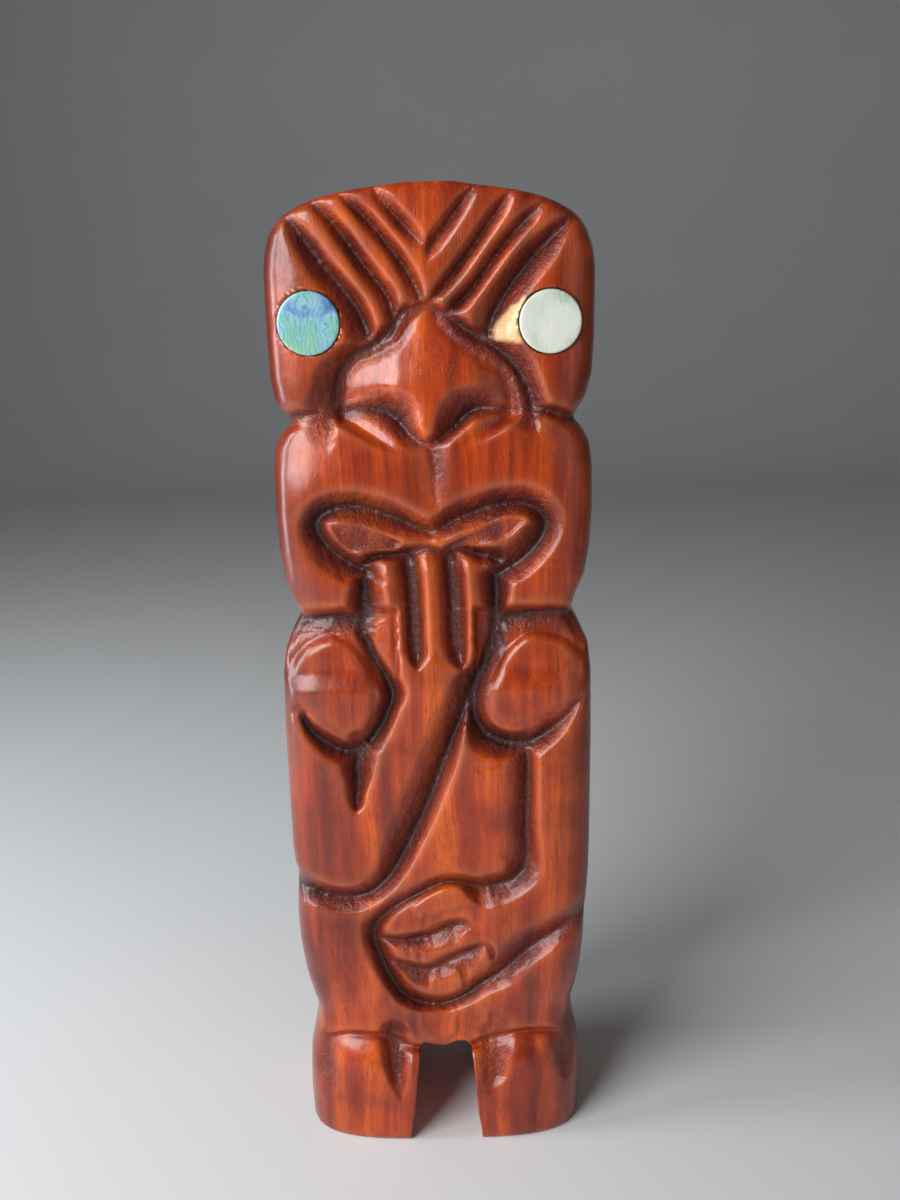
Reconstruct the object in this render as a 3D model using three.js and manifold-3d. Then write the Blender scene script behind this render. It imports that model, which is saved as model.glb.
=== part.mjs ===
// A small lacquered wooden tiki carved in the round from one upright billet, with a
// shell disc let into each eye. Millimetres, +Z up, the carved face looks along -Y and
// +X is the viewer's right. The origin is on the floor, under the middle of the billet.
import * as THREE from 'three';
import { mergeVertices } from 'three/addons/utils/BufferGeometryUtils.js';
import Module from 'manifold-3d';

const wasm = await Module();
wasm.setup();

// ---- driving dimensions ------------------------------------------------------------
const HEIGHT = 190;              // sole to crown
const WIDTH = 60;                // elbow to elbow
const DEPTH = 34;                // face to back
const FACE_ROUND = 7;            // how square the plan is at the head: superellipse power
const FOOT_ROUND = 3.6;          // the same at the soles, where the corners are rounder
const BACK_ROUND = 9;            // the back is nearly flat
const ROUND_FROM = 12, ROUND_TO = 62;   // heights between which the plan turns squarer
const SOLE_EASE = 0.7;           // the worn edge round the soles
const DISC = { r: 5.45, thick: 2.3, edge: 0.3, face: -16.9, sides: 36 };
const RIGHT_EYE = [-21.05, 167.0];      // [x, z] of the disc's middle, the wearer's right
const LEFT_EYE = [21.05, 166.65];
const SOCKET_GAP = 0.3;          // round the disc and behind it
const CLEAR = 7;                 // how far the gouges' upper ends stand off the face
const LIFT = 0.7;                // gouge walls run on this far above the wood
const TURN = 3.2;                // cuts that run out over a side keep this near the face

// The carving is set out as it is seen by an eye straight in front and a little above:
// a place (x, z) is where the sight line crosses the upright plane that touches the face.
const EYE = new THREE.Vector3(2.7, -213.4, 166.9);

// ---- the billet --------------------------------------------------------------------
// Half widths at each height, [height, wearer's right, wearer's left], with the notches
// under the head, under the jaw and at the ankles.
const SIDES = [
  [0, 29.2, 28.8], [9, 29.5, 29.1], [15.6, 29.1, 28.8], [19.7, 28.2, 28.0],
  [24.4, 27.2, 27.0], [27.5, 27.1, 27.0], [31, 27.9, 27.8], [37, 28.9, 28.7],
  [45, 29.6, 29.2], [51, 29.7, 29.2], [55, 29.4, 29.6], [59, 29.1, 29.8],
  [62, 29.4, 29.9], [66, 29.9, 30], [90, 30, 30], [102, 29.8, 29.8],
  [106.7, 29.1, 29.2], [110.3, 27.6, 27.4], [112.6, 25.9, 26.1], [113.5, 25.1, 25.6],
  [114.4, 25.8, 26.0], [116.8, 27.2, 26.6], [120.7, 28.5, 28.3], [126, 29.2, 29.2],
  [133, 29.5, 29.6], [141, 29.4, 29.5], [145.4, 28.9, 28.9], [147.9, 27.5, 27.5],
  [149.2, 25.9, 26.2], [149.8, 25.4, 25.8], [151.2, 27.0, 26.6], [153.6, 28.5, 28.1],
  [157.6, 29.2, 29.2], [164, 29.4, 29.6], [176, 29.4, 29.6], [179, 29.0, 29.2],
  [181.9, 28.2, 28.2], [183.8, 27.0, 27.0], [185.3, 25.4, 25.4], [186.7, 22.9, 22.8],
  [187.9, 19.8, 19.6], [188.8, 15.8, 15.2], [189.5, 10.0, 9.6], [190, 3.5, 4.5],
];
// How far the front stands out at each height: full at the chest, slimmer at the shins,
// full again over the toes.
const FRONT = [
  [0, 16.6], [2, 17], [12, 17], [15.5, 16.6], [18.5, 15.4], [21.5, 14.0], [24, 13.5],
  [28, 14.2], [34, 15.5], [42, 16.6], [50, 17], [187.5, 17], [189.2, 16.4], [190, 15.4],
];

// Reads column `col` of a table of rows [height, ...] at height z.
function along(table, z, col = 1) {
  let i = 1;
  while (i < table.length - 1 && table[i][0] < z) i++;
  const [a, b] = [table[i - 1], table[i]];
  const t = THREE.MathUtils.clamp((z - a[0]) / (b[0] - a[0]), 0, 1);
  return a[col] + (b[col] - a[col]) * t;
}
const easeIn = (z) => (z < SOLE_EASE ? SOLE_EASE - Math.sqrt(SOLE_EASE ** 2 - (SOLE_EASE - z) ** 2) : 0);
const planPower = (z) =>
  FOOT_ROUND + (FACE_ROUND - FOOT_ROUND) * THREE.MathUtils.smoothstep(z, ROUND_FROM, ROUND_TO);
const halfWidth = (x, z) => along(SIDES, z, x < 0 ? 1 : 2) - easeIn(z);

// The front surface of the uncarved billet, y at (x, z).
function frontAt(x, z) {
  const u = Math.min(1, Math.abs(x) / halfWidth(x, z));
  const n = planPower(z);
  return -(along(FRONT, z) - easeIn(z)) * (1 - u ** n) ** (1 / n);
}

// One ring round the billet at height z, front first, anticlockwise from above. The steps
// are shares of the half width.
const FRONT_STEPS = [0, 0.45, 0.72, 0.87, 0.95, 0.99, 1];
const BACK_STEPS = [0.99, 0.95, 0.85, 0.62];
function ring(z) {
  const back = DEPTH / 2 - easeIn(z) - (z > 188 ? (z - 188) * 0.5 : 0);
  const pts = [];
  for (const u of [...FRONT_STEPS].reverse()) pts.push([-u, frontAt(-u * halfWidth(-1, z), z)]);
  for (const u of FRONT_STEPS.slice(1)) pts.push([u, frontAt(u * halfWidth(1, z), z)]);
  const backY = (u) => Math.min(back, (back + 0.03) * (1 - u ** BACK_ROUND) ** (1 / BACK_ROUND));
  for (const u of BACK_STEPS) pts.push([u, backY(u)]);
  for (const u of [...BACK_STEPS].reverse()) pts.push([-u, backY(u)]);
  return pts.map(([u, y]) => [u * halfWidth(u, z), y, z]);
}

// A closed solid from level rings of equal length, capped at both ends.
function loft(rings) {
  const n = rings[0].length;
  const verts = rings.flat();
  const tris = [];
  for (let r = 0; r < rings.length - 1; r++) {
    for (let i = 0; i < n; i++) {
      const [a, b] = [r * n + i, r * n + (i + 1) % n];
      tris.push([a, b, b + n], [a, b + n, a + n]);
    }
  }
  const top = (rings.length - 1) * n;
  const cap = THREE.ShapeUtils.triangulateShape(rings[0].map(([x, y]) => new THREE.Vector2(x, y)), []);
  for (const [a, b, c] of cap) tris.push([a, c, b], [top + a, top + b, top + c]);
  return solid(verts, tris);
}

function solid(verts, tris) {
  return new wasm.Manifold(new wasm.Mesh({
    numProp: 3,
    vertProperties: new Float32Array(verts.flat()),
    triVerts: new Uint32Array(tris.flat()),
  }));
}

// ---- gouge cuts --------------------------------------------------------------------
// Follows the sight line of (x, z) down to `deep` below the surface of the wood.
function onWood(x, z, deep) {
  let y = -DEPTH / 2;
  const p = new THREE.Vector3();
  for (let i = 0; i < 6; i++) {
    const t = (y - EYE.y) / (-DEPTH / 2 - EYE.y);
    p.set(EYE.x + (x - EYE.x) * t, y, EYE.z + (z - EYE.z) * t);
    y = Math.min(frontAt(p.x, p.z), TURN - DEPTH / 2) + deep;
  }
  return [p.x, y, p.z];
}

// A curve through the rows of a route, every column carried along together.
function smooth(rows, steps) {
  const out = [];
  for (let i = 0; i < rows.length - 1; i++) {
    const [p0, p1, p2, p3] = [rows[i - 1] ?? rows[i], rows[i], rows[i + 1], rows[i + 2] ?? rows[i + 1]];
    for (let s = 0; s < steps; s++) {
      const t = s / steps;
      out.push(p1.map((_, k) => 0.5 * (2 * p1[k] + (p2[k] - p0[k]) * t
        + (2 * p0[k] - 5 * p1[k] + 4 * p2[k] - p3[k]) * t * t
        + (3 * p1[k] - p0[k] - 3 * p2[k] + p3[k]) * t ** 3)));
    }
  }
  out.push(rows.at(-1));
  return out;
}

// The wood taken out by one run of the gouge. The route's rows are
// [x, z, reach to the left of travel, reach to the right, depth]; `floor` is the part of
// both reaches that is flat at the bottom, 0 for a V.
function gouge(route, { floor = 0, steps = 2 } = {}) {
  const rows = smooth(route, steps);
  const stations = rows.map(([x, z, left, right, deep], i) => {
    const [a, b] = [rows[Math.max(0, i - 1)], rows[Math.min(rows.length - 1, i + 1)]];
    const run = Math.hypot(b[0] - a[0], b[1] - a[1]);
    const [nx, nz] = [-(b[1] - a[1]) / run, (b[0] - a[0]) / run];
    const at = (side, d) => onWood(x + nx * side, z + nz * side, d);
    const rise = 1 + LIFT / deep;
    const edge = (reach) => at(reach * (floor + (1 - floor) * rise), -LIFT);
    return floor > 0
      ? [edge(left), at(left * floor, deep), at(-right * floor, deep), edge(-right)]
      : [edge(left), at(0, deep), edge(-right)];
  });
  const pieces = [];
  for (let i = 0; i < stations.length - 1; i++) pieces.push(slab(stations[i], stations[i + 1]));
  return pieces;
}

// Everything in front of the strip between two stations.
function slab(a, b) {
  const clear = (p) => [p[0], -DEPTH / 2 - CLEAR, p[2]];
  const k = a.length;
  const verts = [...a, ...b, ...a.map(clear), ...b.map(clear)];
  const A = (i) => i, B = (i) => k + i, CA = (i) => 2 * k + i, CB = (i) => 3 * k + i;
  const tris = [];
  const quad = (p, q, r, s) => tris.push([p, q, r], [p, r, s]);
  for (let i = 0; i < k - 1; i++) {
    quad(A(i), B(i), B(i + 1), A(i + 1));
    quad(CA(i), CA(i + 1), CB(i + 1), CB(i));
    quad(A(i), A(i + 1), CA(i + 1), CA(i));
    quad(B(i + 1), B(i), CB(i), CB(i + 1));
  }
  quad(B(0), A(0), CA(0), CB(0));
  quad(A(k - 1), B(k - 1), CB(k - 1), CA(k - 1));
  const piece = solid(verts, tris);
  return piece.volume() < 0 ? solid(verts, tris.map(([p, q, r]) => [p, r, q])) : piece;
}

// ---- the carver's cuts, place by place ---------------------------------------------
// Four slanting flutes on each brow, from the crown down to the root of the nose.
const BROW = [
  [[-9.3, 189.2, 0.3, 0.3, 0.4], [-8, 187.2, 1.7, 1.1, 1.4], [-5.6, 184.4, 2.1, 1.4, 2.5],
    [-3.2, 181.8, 2, 1.4, 2.6], [-1.6, 180.2, 1.3, 1.2, 1.8], [-1, 179.2, 0.3, 0.3, 0.3]],
  [[-14.9, 187.9, 0.3, 0.3, 0.4], [-13.3, 186.6, 1.5, 0.9, 1.4], [-10.6, 184.1, 1.9, 1.4, 2.6],
    [-7.9, 181, 1.9, 1.4, 3], [-5, 177.2, 1.9, 1.5, 3], [-2.8, 174, 1.6, 2, 2.9],
    [-1.6, 171.6, 0.9, 2.2, 2.4]],
  [[-20.1, 186.7, 0.3, 0.3, 0.4], [-18.2, 185.6, 1.5, 1.2, 1.6], [-15.2, 182.2, 2, 1.7, 3],
    [-12.1, 178, 1.9, 1.9, 3.1], [-9.3, 174.2, 2, 2, 3.2], [-7.1, 171, 2.1, 2.1, 3.2],
    [-6.2, 167.8, 1.2, 2, 3.2]],
  [[-24.4, 184.9, 0.3, 0.3, 0.4], [-22.8, 183.4, 1.3, 2, 1.8], [-20.4, 179.9, 2.2, 2.8, 3.2],
    [-17.8, 176.3, 2.2, 3.2, 3.6], [-14.6, 172.4, 2.2, 3.6, 4], [-12.2, 169, 2.2, 3.6, 4.2],
    [-10.7, 165.6, 1.9, 4.5, 4.2]],
  [[8.3, 189.1, 0.3, 0.3, 0.4], [6.4, 187, 1.3, 1.2, 1.8], [3.9, 183.8, 1.6, 1.6, 2.6],
    [1.8, 181.2, 1.7, 1.6, 2.6], [0.5, 179.4, 1.6, 1.4, 2.2], [-0.2, 177.4, 0.3, 0.3, 0.4]],
  [[14.6, 188.5, 0.3, 0.3, 0.4], [12.8, 186.2, 1.4, 1.3, 1.8], [10.2, 182.7, 1.6, 1.6, 2.7],
    [7.4, 178.9, 1.6, 1.6, 2.8], [4.6, 175.3, 1.6, 1.5, 2.8], [2.2, 172.6, 1.5, 1.3, 2.5],
    [0.6, 170.8, 0.8, 0.8, 1.6]],
  [[19.8, 186.4, 0.3, 0.3, 0.4], [17.6, 184.3, 1.4, 1.3, 1.8], [14.6, 181.3, 1.5, 1.7, 2.8],
    [11.6, 177.7, 1.5, 1.8, 3], [8.4, 173.5, 1.6, 1.7, 3], [5.4, 170.2, 1.7, 1.8, 3],
    [3.2, 168.4, 1.4, 1.4, 2.6]],
  [[25.2, 184.1, 0.3, 0.3, 0.4], [22.8, 182.2, 1.6, 1.8, 2.2], [19.6, 179.3, 3.2, 2.4, 3.4],
    [16.4, 175.8, 3.3, 2.7, 3.8], [13.2, 171.6, 3.2, 2.9, 4], [11, 168, 4.2, 3.2, 4.2],
    [9.9, 165, 5.2, 3.4, 4.2]],
];

// The troughs from the root of the nose round each wing to the lip.
const NOSE_SIDES = [
  [[-1.6, 169.6, 1.6, 1.2, 1.8], [-4.6, 168.6, 3, 1.6, 3], [-7.2, 165.2, 3.1, 2, 3.6],
    [-10, 163, 2.9, 2.6, 4], [-13.6, 161.4, 2.2, 3, 4], [-15.9, 158.2, 1.9, 4.4, 4],
    [-16.7, 154.8, 2.2, 5.2, 3.8], [-17.1, 151.8, 2.4, 6.6, 3.4]],
  [[0.9, 169.2, 1.2, 1.6, 1.8], [3, 167.9, 1.6, 2.6, 3], [6.4, 165.4, 2.2, 3.3, 3.6],
    [9.6, 163.6, 2.8, 4.2, 4], [12.8, 161.3, 3.6, 3.4, 4], [15.4, 158.3, 3.4, 3.2, 4],
    [17.2, 155.2, 2.8, 4.2, 3.8], [18, 152.2, 3.2, 5, 3.4]],
];

// The cut between nose and upper lip, with a nostril scooped out on each side of the tip.
const LIP = [
  [[-29, 149.9, 1.4, 1.2, 1.2], [-24.6, 151, 1.6, 1.4, 1.7], [-20.6, 151.6, 1.5, 1.5, 2.6], [-16.6, 152.1, 1.2, 2, 3.2],
    [-12.4, 152.2, 2.4, 2.3, 3.8], [-9, 151.9, 4.1, 3.2, 4.2], [-6.2, 150.2, 4.8, 3.2, 4.2],
    [-3.8, 147.4, 2.6, 2.6, 3.4], [-1.2, 145.8, 1.8, 1.9, 2.4], [1.4, 146.6, 2.4, 1.5, 2.6],
    [4.2, 149, 4.4, 1.6, 4], [6.8, 151.4, 4.8, 2, 4.4], [9.6, 152, 3.6, 1.8, 3.6],
    [12.6, 151.6, 1.2, 0.8, 2.2], [17.4, 152, 1.4, 1.3, 3], [21.2, 151.2, 1.7, 1.5, 2.6],
    [24.8, 150, 1.6, 1.5, 1.7], [29, 149.6, 1.4, 1.2, 1.2]],
  [[0.3, 145, 2.6, 2.9, 1.5], [0.5, 140, 2.2, 2.8, 0.9], [0.7, 134, 1.2, 1.4, 0.3]],
];

// The figure-of-eight mouth: a cut round each leaf-shaped lip and one under both.
const MOUTH = [
  [[-0.6, 129.8, 1.6, 3.2, 3.2], [-3.4, 131, 2.6, 2.6, 3.6], [-6.8, 132.6, 3.4, 2.9, 3.8],
    [-10.8, 134.2, 3.6, 3, 3.9], [-15, 134.9, 3.3, 3.1, 4], [-18.6, 134.3, 2.6, 3.4, 4],
    [-20.8, 132.6, 2.2, 3.4, 4], [-20.9, 130.6, 2.4, 3.8, 4], [-19.6, 128.2, 2.3, 4.2, 4],
    [-17.4, 126, 2.2, 4.4, 4], [-14.8, 124.2, 2.2, 4.4, 4.2], [-12, 122.8, 2.6, 3.8, 4.4]],
  [[1, 130.6, 3.2, 2.2, 3.2], [4.6, 132.6, 3, 3, 3.6], [8.4, 134, 3.3, 3.6, 3.8],
    [12, 134.8, 3.5, 3, 3.9], [15.4, 135, 3.6, 2.8, 4], [18, 134.2, 3.8, 2.4, 4],
    [19.9, 132.2, 3.6, 2.8, 4], [20, 130.2, 3.4, 3.6, 4], [18.6, 127.6, 3.4, 4.2, 4],
    [16.6, 125.4, 3.4, 4.4, 4], [14.2, 123.6, 3.5, 5, 4.2], [12, 122.2, 3, 3.6, 4.4]],
  [[-13, 124.2, 1.6, 1.4, 4.2], [-10.6, 125.6, 1.5, 1, 4], [-7.6, 125.9, 1.1, 1.4, 3.8],
    [-4.4, 126.4, 1.4, 1.6, 3.6], [-1.2, 126.9, 1.2, 1.2, 3], [2, 126.2, 0.9, 1.2, 3],
    [5.4, 126.6, 1.4, 1.4, 3.6], [8.6, 126, 1.7, 2.4, 4], [11.6, 124.6, 3.2, 2.4, 4.4]],
];
// The leaves' faces, planed a little below the lips.
const LEAVES = [
  [[-18.4, 131.5, 0.5, 0.5, 0.9], [-15, 129.4, 2.4, 2.6, 1], [-11.6, 128.8, 2, 1.9, 1.1],
    [-8.4, 128.2, 1.2, 1.2, 1.4], [-6.6, 128, 0.5, 0.5, 1.8]],
  [[15.8, 131.6, 0.5, 0.5, 0.9], [12.6, 130.3, 1.8, 1.8, 1], [8.8, 129, 1.3, 1.3, 1.2],
    [5, 127.9, 0.8, 0.8, 1.6], [2.2, 126.8, 0.5, 0.5, 2]],
];

// Under the jaw, down past the raised hand and round each shoulder.
const NECK = [
  [[-29, 113.6, 1.2, 2.2, 1.2], [-25.4, 114.2, 1.1, 4.4, 2], [-22.2, 114.4, 1, 5, 3], [-19, 114.5, 1.4, 4.4, 3.8],
    [-16.2, 114.2, 2.4, 4.6, 4.2], [-13.6, 113.4, 2.6, 4, 4.4]],
  [[12.2, 113.6, 2, 4.6, 4.4], [15.4, 114.3, 1.9, 4.4, 4.2], [18.6, 114.8, 1.3, 4.6, 3.6],
    [22, 115, 1, 5.4, 2.8], [25.2, 114.6, 1, 5, 2], [29, 113.8, 1.2, 2.4, 1.2]],
];
const SHOULDERS = [
  [[-13, 121, 3, 2.6, 4.4], [-13.1, 118, 4.2, 3.2, 4.4], [-13.2, 114.8, 4.2, 3.6, 4.4],
    [-13.4, 112.6, 1.3, 3.4, 4.4], [-12.8, 110.2, 1.1, 2.8, 4.4], [-11.3, 106.6, 1.1, 2.6, 4.4],
    [-9.5, 103, 1.4, 2.8, 4.4], [-8.5, 99.6, 2.9, 2.8, 4.4], [-9.2, 96.2, 2.2, 2.7, 4.2],
    [-10.8, 92.8, 2.4, 2.6, 4.2], [-13, 90, 3.2, 2.4, 4.2]],
  [[-25.4, 96.2, 0.5, 0.4, 0.6], [-25.2, 94.4, 1.3, 1.1, 2], [-23.6, 91.8, 2.2, 2, 3],
    [-21, 89.6, 2.4, 2.8, 3.6], [-18, 88.3, 2.3, 3.6, 4], [-15.2, 87.8, 2.6, 3.6, 4.2]],
  [[-14.6, 88.6, 3.6, 3.8, 4.2], [-15.4, 85.4, 3.7, 4, 3.9], [-15.5, 82, 2.9, 3, 3.5],
    [-15.7, 79, 1.8, 2.5, 3], [-16, 76.6, 1.6, 1.6, 2.2], [-16.2, 75.2, 0.4, 0.4, 0.6]],
  [[11, 121.5, 3.6, 3, 4.4], [11.2, 118, 3, 3, 4.6], [11.1, 114.4, 2.2, 2.7, 4.6],
    [10.6, 110.8, 3.6, 2.2, 4.6], [9.6, 107.4, 3, 1.6, 4.6], [8.3, 104.2, 3.2, 1.4, 4.6],
    [7, 100.6, 3.2, 2.6, 4.6], [6.7, 97.2, 3.1, 2.6, 4.6], [7.3, 93.9, 3, 3, 4.6],
    [9.6, 91, 2.4, 5, 4.6], [13, 89.4, 2.6, 4.6, 4.4], [16.4, 89.2, 2.8, 4.4, 4],
    [19.4, 90.4, 2.8, 3.3, 3.6], [22.2, 92.4, 2.6, 2.7, 2.8], [24.8, 94.9, 1.6, 1.6, 1.8],
    [27, 97.8, 0.3, 0.3, 0.4]],
];

// Between the three fingers raised to the mouth.
const FINGERS = [
  [[-4.4, 125.2, 2.6, 3, 3.4], [-4.1, 121.6, 2.9, 3, 3.4], [-3.8, 116, 2.9, 2.8, 3.4],
    [-3.8, 110.6, 3, 2.7, 3.4], [-3.8, 107.2, 2.7, 2.2, 3.2], [-3.8, 105.2, 1.7, 1.3, 2.4],
    [-3.7, 103.8, 0.3, 0.3, 0.3]],
  [[3, 125.2, 2.2, 2.6, 3.4], [3.2, 121.6, 3, 2.8, 3.4], [3.7, 116, 2.8, 2.9, 3.4],
    [3.8, 110.6, 2.8, 3, 3.4], [4.1, 107, 2.4, 2.6, 3.2], [4.6, 105, 1.5, 1.8, 2.4],
    [4.9, 103.4, 0.3, 0.3, 0.3]],
];

// Arms: under the bent elbow and up beside the raised forearm; down the inside of the
// other arm, over the hand on the belly and round below it to the far elbow.
const ARMS = [
  [[-31, 62.8, 2.4, 3.2, 1.6], [-28.4, 61.4, 2.4, 3.4, 1.8], [-26.2, 59.8, 2.5, 3.4, 2.5], [-23.6, 58.3, 2.4, 3.4, 3.2],
    [-20.2, 57.5, 2.1, 4, 3.4], [-16.6, 57.5, 2.2, 3.8, 3.5], [-13.2, 58.8, 3, 3.4, 3.6],
    [-10.2, 61.6, 3.6, 3, 3.8], [-7.6, 65.6, 4.6, 2.9, 4], [-5.6, 69.6, 5, 2.9, 4],
    [-3.4, 74.2, 5.3, 2.9, 4], [-1.4, 79.2, 5.1, 3, 4], [0.6, 84.4, 4.9, 3, 4],
    [2.2, 88.6, 5, 2.4, 4.2], [4, 93, 4.9, 1.6, 4.4], [5.5, 97.2, 4.6, 1.6, 4.6],
    [6.6, 100.6, 4, 1.6, 4.6], [7.6, 103.2, 2.8, 1.4, 4.6]],
  [[17, 87, 2.2, 4.2, 3.6], [17.1, 82, 2.1, 4.4, 3.4], [17, 76, 2.2, 4.4, 3.4],
    [16.9, 70, 2.5, 4.4, 3.4], [17, 66, 2.9, 5, 3.4], [16.2, 62.6, 4, 5.2, 3.5],
    [13.4, 60.2, 4.4, 2.9, 3.5], [10.4, 59.3, 5.2, 2.6, 3.5], [7.4, 59, 4.6, 2.2, 3.4],
    [4.4, 59.7, 1.6, 2.2, 3], [2, 60.1, 1.4, 2.2, 2.8], [0, 59.8, 1.4, 2.2, 2.8],
    [-2.4, 58.9, 1.5, 2, 2.8], [-5.2, 57.3, 1.6, 2, 2.8], [-7.8, 55.8, 1.6, 2.2, 3],
    [-10.6, 53.8, 1.8, 2.4, 3.2], [-13.2, 51, 2.2, 2.8, 3.7], [-13.6, 48.2, 2.6, 2.8, 4],
    [-12.6, 44.8, 2.6, 3, 4], [-11.4, 41.4, 2.8, 2.8, 4], [-9.8, 38, 2.6, 2.6, 4],
    [-7.8, 35.2, 2.4, 2.8, 4], [-5, 33.5, 2.2, 2.7, 3.8], [-1.6, 33, 2.2, 2.4, 3.6],
    [1.4, 33.5, 2, 2.6, 3.6], [4.6, 35.1, 2.2, 3, 3.6], [8, 37.7, 2.6, 3.6, 3.6],
    [11.2, 39.8, 3.2, 4.2, 3.6], [14.2, 42.2, 4.8, 3.6, 3.6], [17.2, 45.2, 4.4, 3.9, 3.4],
    [20.4, 47.6, 3.8, 3.9, 3.2], [23.6, 49.8, 3.4, 3.7, 2.8], [27.2, 52.8, 2.7, 2.9, 2.2],
    [31, 56.2, 2.4, 2.6, 1.8]],
];

// Between the fingers of the hand that lies on the belly.
const BELLY_HAND = [
  [[-11.4, 47.8, 1.4, 1.6, 2.2], [-8.4, 47.4, 1.6, 2.2, 2.8], [-5.6, 47.7, 1.6, 2.8, 3],
    [-3, 48.3, 1.8, 3.6, 3], [0.2, 49.7, 2, 4.4, 3], [2.8, 50.8, 1.7, 4.6, 2.8],
    [4.6, 50.6, 1.6, 3.4, 2.2], [5.8, 49.8, 0.6, 1, 0.8]],
  [[-9.8, 42.6, 1.4, 1.9, 2.2], [-7.2, 41.6, 1.4, 3.2, 3], [-4.6, 40.9, 1.4, 4.2, 3],
    [-2, 41.2, 1.6, 3.8, 3], [0.6, 42.5, 1.8, 4.4, 3], [3.4, 43.9, 1.6, 4.2, 2.8],
    [6.2, 45.2, 1.2, 3.6, 2.4], [8.4, 45.9, 0.6, 1.6, 1]],
];

// Two scoops over each foot leave three blunt toes.
const TOES = [
  [[-22.8, 27.5, 3.4, 3, 2.2], [-22.6, 21.4, 3.4, 2.8, 2.2], [-22.4, 17.6, 2.6, 2.4, 1.4],
    [-22.6, 14.2, 0.6, 0.6, 0.3]],
  [[-10, 26, 3.4, 3.6, 2.6], [-10, 20, 3, 3.1, 2.6], [-9.8, 16.4, 2.4, 2.7, 2],
    [-9.6, 13.2, 1.6, 1.8, 1.2], [-9.5, 10.6, 0.4, 0.4, 0.3]],
  [[10.2, 27.5, 3.6, 3.4, 2.2], [10.1, 21, 3.4, 2.9, 2.4], [9.8, 16.8, 2.6, 2.4, 1.8],
    [8.9, 12.4, 0.6, 0.6, 0.4]],
  [[24.6, 28, 3.2, 3.6, 2.4], [25, 21.2, 2.8, 3.3, 2.4], [25.1, 17.4, 2.4, 2.6, 1.6],
    [24.9, 14.6, 0.5, 0.5, 0.3]],
];

// The opening between the legs, [x, z] up one shin and down the other. It goes straight
// through to the back.
const BETWEEN_LEGS = [
  [7.5, -2], [7.2, 2.5], [6.5, 6.5], [6.1, 12.6], [5.8, 18], [5.5, 21.4], [4.4, 22.8],
  [2.6, 22.8], [0.4, 21.9], [-1.7, 21.9], [-4.2, 22.6], [-5.1, 21.8], [-5.3, 18],
  [-5.7, 12.6], [-6.3, 6.5], [-7, 2.5], [-7.4, -2],
];

// ---- putting it together -----------------------------------------------------------
// The same body as a three.js geometry, ready to join and cut.
function bodyOf(geometry) {
  geometry.deleteAttribute('normal');
  geometry.deleteAttribute('uv');
  const welded = mergeVertices(geometry, 1e-4);
  return new wasm.Manifold(new wasm.Mesh({
    numProp: 3,
    vertProperties: Float32Array.from(welded.attributes.position.array),
    triVerts: Uint32Array.from(welded.index.array),
  }));
}

function legGap() {
  const outline = new THREE.Shape(BETWEEN_LEGS.map(([x, z]) => new THREE.Vector2(x, z)));
  const gap = new THREE.ExtrudeGeometry(outline, { depth: 2 * DEPTH, bevelEnabled: false });
  gap.rotateX(Math.PI / 2).translate(0, DEPTH, 0);
  return bodyOf(gap);
}

// A straight-sided round pocket, open towards the viewer.
function eyeSocket([x, z]) {
  const floor = DISC.face + DISC.thick + SOCKET_GAP;
  const r = DISC.r + SOCKET_GAP;
  const drill = new THREE.CylinderGeometry(r, r, DEPTH, DISC.sides);
  drill.translate(x, floor - DEPTH / 2, z);
  return bodyOf(drill);
}

function carve() {
  const heights = [...SIDES, ...FRONT].map(([z]) => z).concat(SOLE_EASE / 3, SOLE_EASE);
  const levels = heights.sort((a, b) => a - b).filter((z, i, all) => i === 0 || z - all[i - 1] > 0.2);
  const cuts = [
    ...[...BROW, ...NOSE_SIDES, ...LIP, ...MOUTH, ...NECK, ...ARMS, ...BELLY_HAND].map((r) => gouge(r)),
    ...SHOULDERS.map((r) => gouge(r, { floor: 0.12 })),
    ...FINGERS.map((r) => gouge(r, { floor: 0.26 })),
    ...LEAVES.map((r) => gouge(r, { floor: 0.9 })),
    ...TOES.map((r) => gouge(r, { floor: 0.4 })),
    legGap(), eyeSocket(RIGHT_EYE), eyeSocket(LEFT_EYE),
  ].flat();
  const carved = loft(levels.map(ring)).subtract(wasm.Manifold.union(cuts)).simplify(0.03);
  return carved.decompose().sort((a, b) => b.volume() - a.volume())[0];
}

function figure(material) {
  const { vertProperties, triVerts } = carve().getMesh();
  const geometry = new THREE.BufferGeometry();
  geometry.setAttribute('position', new THREE.BufferAttribute(vertProperties, 3));
  geometry.setIndex(new THREE.BufferAttribute(triVerts, 1));
  geometry.computeVertexNormals();
  const mesh = new THREE.Mesh(geometry, material);
  mesh.name = 'carved_figure';
  return mesh;
}

// A flat round disc with its front rim eased, turned about the sight direction.
function eyeDisc(name, [x, z], material) {
  const { r, thick, edge, sides } = DISC;
  const profile = [[0, 0], [r - edge, 0], [r, edge], [r, thick], [0, thick]];
  const turned = new THREE.LatheGeometry(profile.map(([a, b]) => new THREE.Vector2(a, b)), sides);
  const mesh = new THREE.Mesh(turned, material);
  mesh.position.set(x, DISC.face, z);
  mesh.name = name;
  return mesh;
}

const lacqueredWood = new THREE.MeshStandardMaterial({ color: 0xb4481c, roughness: 0.3, metalness: 0 });
const blueShell = new THREE.MeshStandardMaterial({ color: 0x8fb7c4, roughness: 0.25, metalness: 0 });
const paleShell = new THREE.MeshStandardMaterial({ color: 0xcfd8c8, roughness: 0.25, metalness: 0 });

const tiki = new THREE.Group();
tiki.add(
  figure(lacqueredWood),
  eyeDisc('eye_disc_right', RIGHT_EYE, blueShell),
  eyeDisc('eye_disc_left', LEFT_EYE, paleShell),
);

export default tiki;
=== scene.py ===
import math

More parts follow.
